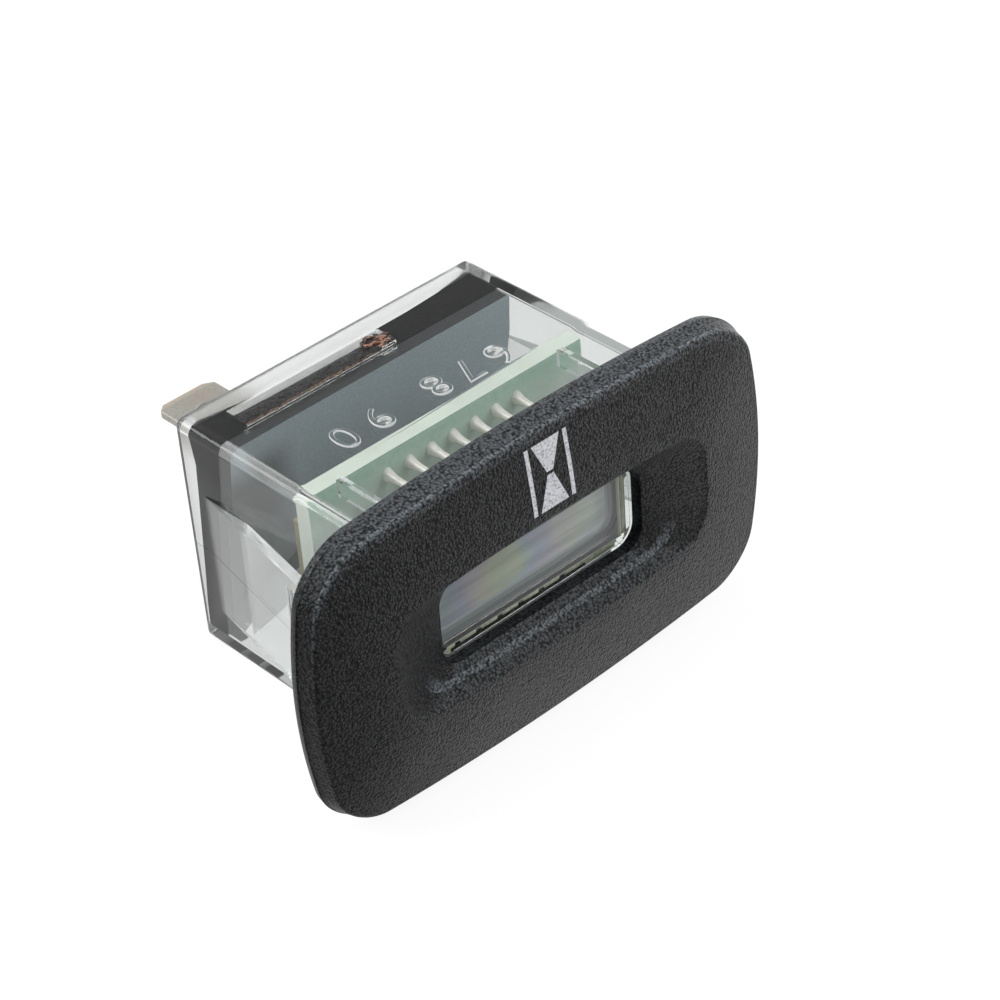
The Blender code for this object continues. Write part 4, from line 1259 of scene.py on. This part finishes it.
calmed = mix_colours(tree, to_right, play_colour, linear("#aeb6b5"))
stretched = add_node(
    tree, "ShaderNodeMapping", {"vector_type": "POINT"}, {"Vector": place, "Scale": (0.08, 1.0, 1.0)}
)
streaks = add_node(
    tree, "ShaderNodeTexNoise", inputs={"Vector": stretched, "Scale": 1 / (1.1 * mm), "Detail": 2.0, "Roughness": 0.5}
)
streaked = add_node(
    tree,
    "ShaderNodeMix",
    {"data_type": "RGBA", "blend_type": "MULTIPLY"},
    {0: 1.0, 6: calmed, 7: ramp(tree, streaks.outputs["Fac"], [(0.3, "#d2d2d0"), (0.6, "#ffffff")])},
)


def past(value, limit):
    """How far a coordinate is past a limit, or nothing before it."""
    over = maths(tree, "SUBTRACT", value, limit)
    kept = maths(tree, "MAXIMUM", over, 0.0)
    return kept.outputs[0]


def layer_on(below, value, start, stop, code):
    """Lay a colour over another one where a value is past a limit."""
    cover = remap(tree, value, (start, stop))
    return mix_colours(tree, cover, below, linear(code))


aside = maths(tree, "ABSOLUTE", parts.outputs["X"])
downward = maths(tree, "MULTIPLY", parts.outputs["Z"], -1.0)
corner_way = add_node(
    tree,
    "ShaderNodeCombineXYZ",
    inputs={
        "X": past(aside.outputs[0], lit_half_x - lit_corner),
        "Z": past(downward.outputs[0], -lit_low_z - lit_corner),
    },
)
reach = add_node(tree, "ShaderNodeVectorMath", "LENGTH", {0: corner_way})
dark_edge_reach = lit_corner + shade_border_width
# The film is painted lighter towards the right: painted light.
painted_light_to_right = remap(tree, parts.outputs["X"], (-11 * mm, 9 * mm), (0.7, 1.25))
lit_film = add_node(tree, "ShaderNodeVectorMath", "SCALE", {0: streaked.outputs[2], "Scale": painted_light_to_right})
film_reach = reach.outputs["Value"]
# Outside the lit field the film is painted grey, then black: painted shade of the window's edges.
film = layer_on(lit_film.outputs[0], film_reach, lit_corner - 0.35 * mm, lit_corner - 0.3 * mm, "#8d9799")
film = layer_on(film, film_reach, lit_corner - 0.05 * mm, lit_corner + 0.05 * mm, "#666e70")
film = layer_on(film, film_reach, dark_edge_reach - 0.05 * mm, dark_edge_reach + 0.05 * mm, "#050605")
# Past the film's right edge a yellow-green band is painted: a painted lit glass edge.
film = layer_on(film, parts.outputs["X"], 11.72 * mm, 11.78 * mm, "#c4c195")
tree.links.new(film, shader.inputs["Base Color"])
dress(polariser, "lcd_front_polariser")

# %% Glass and reflector finishes
float_glass, tree, shader = new_finish("float glass", {"IOR": 1.52, "Transmission Weight": 1.0})
place = add_node(tree, "ShaderNodeTexCoord").outputs["Object"]
waves = add_node(tree, "ShaderNodeTexNoise", inputs={"Vector": place, "Scale": 1 / (8 * mm), "Detail": 1.0})
tree.links.new(ramp(tree, waves.outputs["Fac"], [(0.3, "#e6f5e4"), (0.7, "#f0fff0")]), shader.inputs["Base Color"])
wipe = remap(tree, waves.outputs["Fac"], (0.0, 1.0), (0.0, 0.06))
tree.links.new(wipe.outputs[0], shader.inputs["Roughness"])
let_lamps_through(float_glass, "#eef8ee", "#8f958f")
dress(float_glass, "lcd_front_glass", "lcd_rear_glass")
foil_tones = [(0.3, "#b9bcb2"), (0.7, "#c9ccc3")]
foil = mottled("satin aluminium foil", {"Roughness": 0.45, "Metallic": 1.0}, 0.2 * mm, foil_tones, 0.01 * mm)[0]
dress(foil, "lcd_reflector")

# %% [markdown]
# ## Metal
# The blades are tinned brass that has lain about: the tin has gone matt and grey-beige, with a warm band where the
# tip was cut and pinkish patches where the brass shows through. The pins are the same metal, but clean, because they
# were sealed in. Tarnish is no metal, so the metallic value follows the mottling too.

# %% Blade finish
blade_low, blade_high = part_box("terminal_left")
tarnished, tree, shader, place, colour = mottled(
    "tinned brass, tarnished",
    {"Roughness": 0.5},
    0.25 * mm,
    [(0.3, "#a2a5a6"), (0.45, "#b5b4ac"), (0.6, "#bfbbae"), (0.75, "#b0aea6")],
    0.02 * mm,
)
parts = add_node(tree, "ShaderNodeSeparateXYZ", inputs={0: place})
patches = add_node(tree, "ShaderNodeTexNoise", inputs={"Vector": place, "Scale": 1 / (2.4 * mm), "Detail": 2.0})
pinkish = remap(tree, patches.outputs["Fac"], (0.56, 0.7), (0.0, 0.6))
with_brass = mix_colours(tree, pinkish, colour, linear("#cbb2a8"))
tip = remap(tree, parts.outputs["Y"], (blade_high.y - 1.0 * mm, blade_high.y - 0.3 * mm), (0.0, 0.55))
with_tip = mix_colours(tree, tip, with_brass, linear("#d6c3a6"))
tree.links.new(with_tip, shader.inputs["Base Color"])
metal_share = remap(tree, patches.outputs["Fac"], (0.0, 1.0), (0.15, 0.6))
tree.links.new(metal_share.outputs[0], shader.inputs["Metallic"])
dress(tarnished, "terminal_left", "terminal_right")

# %% Pin finish
bright_tin, tree, shader, place, colour = mottled(
    "tinned bronze wire, bright",
    {"Roughness": 0.3, "Metallic": 0.85},
    0.4 * mm,
    [(0.3, "#d9d5ca"), (0.7, "#f1eee6")],
    0.01 * mm,
)
dress(bright_tin, *[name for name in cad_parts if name.startswith("lcd_pin")])

# %% [markdown]
# ## Components on the board
# They sit low on the board's rear face, where little light reaches them. Each still gets the finish of the real thing:
# matt moulding compound on the chips and diodes, yellow epoxy on the tantalum capacitor, a drawn metal can on the
# crystal, and dark glazed ceramic on the resistors.

# %% Component finishes
component_finishes = [
    (
        "black moulding compound",
        {"Roughness": 0.6, "IOR": 1.5},
        (0.15 * mm, "#161617", "#232324", 0.02 * mm),
        ("microcontroller", "memory_chip", "diode_1", "diode_2"),
    ),
    (
        "yellow epoxy, aged",
        {"Roughness": 0.5, "IOR": 1.5},
        (0.4 * mm, "#857752", "#958560", 0.01 * mm),
        ("filter_capacitor",),
    ),
    (
        "nickel-plated can, drawn",
        {"Roughness": 0.3, "Metallic": 1.0},
        (0.3 * mm, "#b4b2ad", "#cbc9c4", 0.01 * mm),
        ("crystal_can",),
    ),
    (
        "glazed ceramic with tinned ends",
        {"Roughness": 0.25, "IOR": 1.5},
        (0.3 * mm, "#141416", "#1f1f23", 0.01 * mm),
        ("resistor_1", "resistor_2", "resistor_3"),
    ),
]
for name, values, (grain, dark, light, depth), nodes in component_finishes:
    finish = mottled(name, values, grain, [(0.3, dark), (0.7, light)], depth)[0]
    dress(finish, *nodes)

# %% [markdown]
# ## Print on the bezel
# Above the window a plain hourglass is printed in pale grey: two bars and two tapering bodies. Pad printing lays a
# thin skin of ink over a curved, grained face. A flat drawing in front of the bezel does the same here: a tree shoots
# each of its points back onto the moulding, and lifts it by the thickness of the ink.

# %% Tree that prints a drawing on a surface
print_tree, entry = new_tree("print_on_surface", {"Surface": "Object", "Lift": "Float", "Finish": "Material"})
target = add_node(print_tree, "GeometryNodeObjectInfo", inputs={"Object": entry["Surface"]})
hit = add_node(
    print_tree,
    "GeometryNodeRaycast",
    inputs={"Target Geometry": target.outputs["Geometry"], "Ray Direction": (0, 1, 0), "Ray Length": 20 * mm},
)
lift = add_node(print_tree, "ShaderNodeVectorMath", "SCALE", {0: hit.outputs["Hit Normal"], "Scale": entry["Lift"]})
landed = add_node(print_tree, "ShaderNodeVectorMath", "ADD", {0: hit.outputs["Hit Position"], 1: lift})
laid = add_node(print_tree, "GeometryNodeSetPosition", inputs={"Geometry": entry["Geometry"], "Position": landed})
close_tree(print_tree, entry, laid.outputs[0])
print("nodes in the tree:", len(print_tree.nodes))

# %% Ink finish
ink, tree, shader, place, colour = mottled(
    "pale grey printing ink",
    {"Roughness": 0.55, "IOR": 1.5},
    0.2 * mm,
    [(0.34, "#8c8e92"), (0.46, "#d3d4da"), (0.7, "#f0f1f6")],
    0.05 * mm,
)

# %% Hourglass print
print_top = 13.9 * mm
print_bottom = 7.5 * mm
bar_outer = 2.45 * mm
bar_thickness = 0.45 * mm
glass_half = 1.62 * mm
neck_half = 0.36 * mm
neck_top = 10.95 * mm
neck_bottom = 10.65 * mm
drawing = bmesh.new()
outlines = [
    ((0, print_top, glass_half), (0, neck_top, neck_half)),
    ((0, neck_bottom, neck_half), (0, print_bottom, glass_half)),
]
for side in (-1, 1):
    bar_x = side * (bar_outer - bar_thickness / 2)
    outlines.append(((bar_x, print_top, bar_thickness / 2), (bar_x, print_bottom, bar_thickness / 2)))
start_y = bezel_low.y - 5 * mm
for (top_x, top_z, top_half), (low_x, low_z, low_half) in outlines:
    corners = [
        (top_x - top_half, start_y, top_z),
        (low_x - low_half, start_y, low_z),
        (low_x + low_half, start_y, low_z),
        (top_x + top_half, start_y, top_z),
    ]
    drawing.faces.new([drawing.verts.new(corner) for corner in corners])
bmesh.ops.subdivide_edges(drawing, edges=drawing.edges, cuts=9, use_grid_fill=True)
drawing_mesh = bpy.data.meshes.new("hourglass_drawing")
drawing.to_mesh(drawing_mesh)
drawing.free()
hourglass = run_tree(
    "hourglass_print", drawing_mesh, print_tree, {"Surface": bezel, "Lift": 0.015 * mm, "Finish": ink}
)
skin = hourglass.modifiers.new("ink_thickness", "SOLIDIFY")
skin.thickness = 0.03 * mm
skin.offset = -1.0
bake_modifiers(hourglass)
tidy_mesh(hourglass.data, 0.0005 * mm)
hourglass.data.shade_flat()
show(hourglass, "bezel")
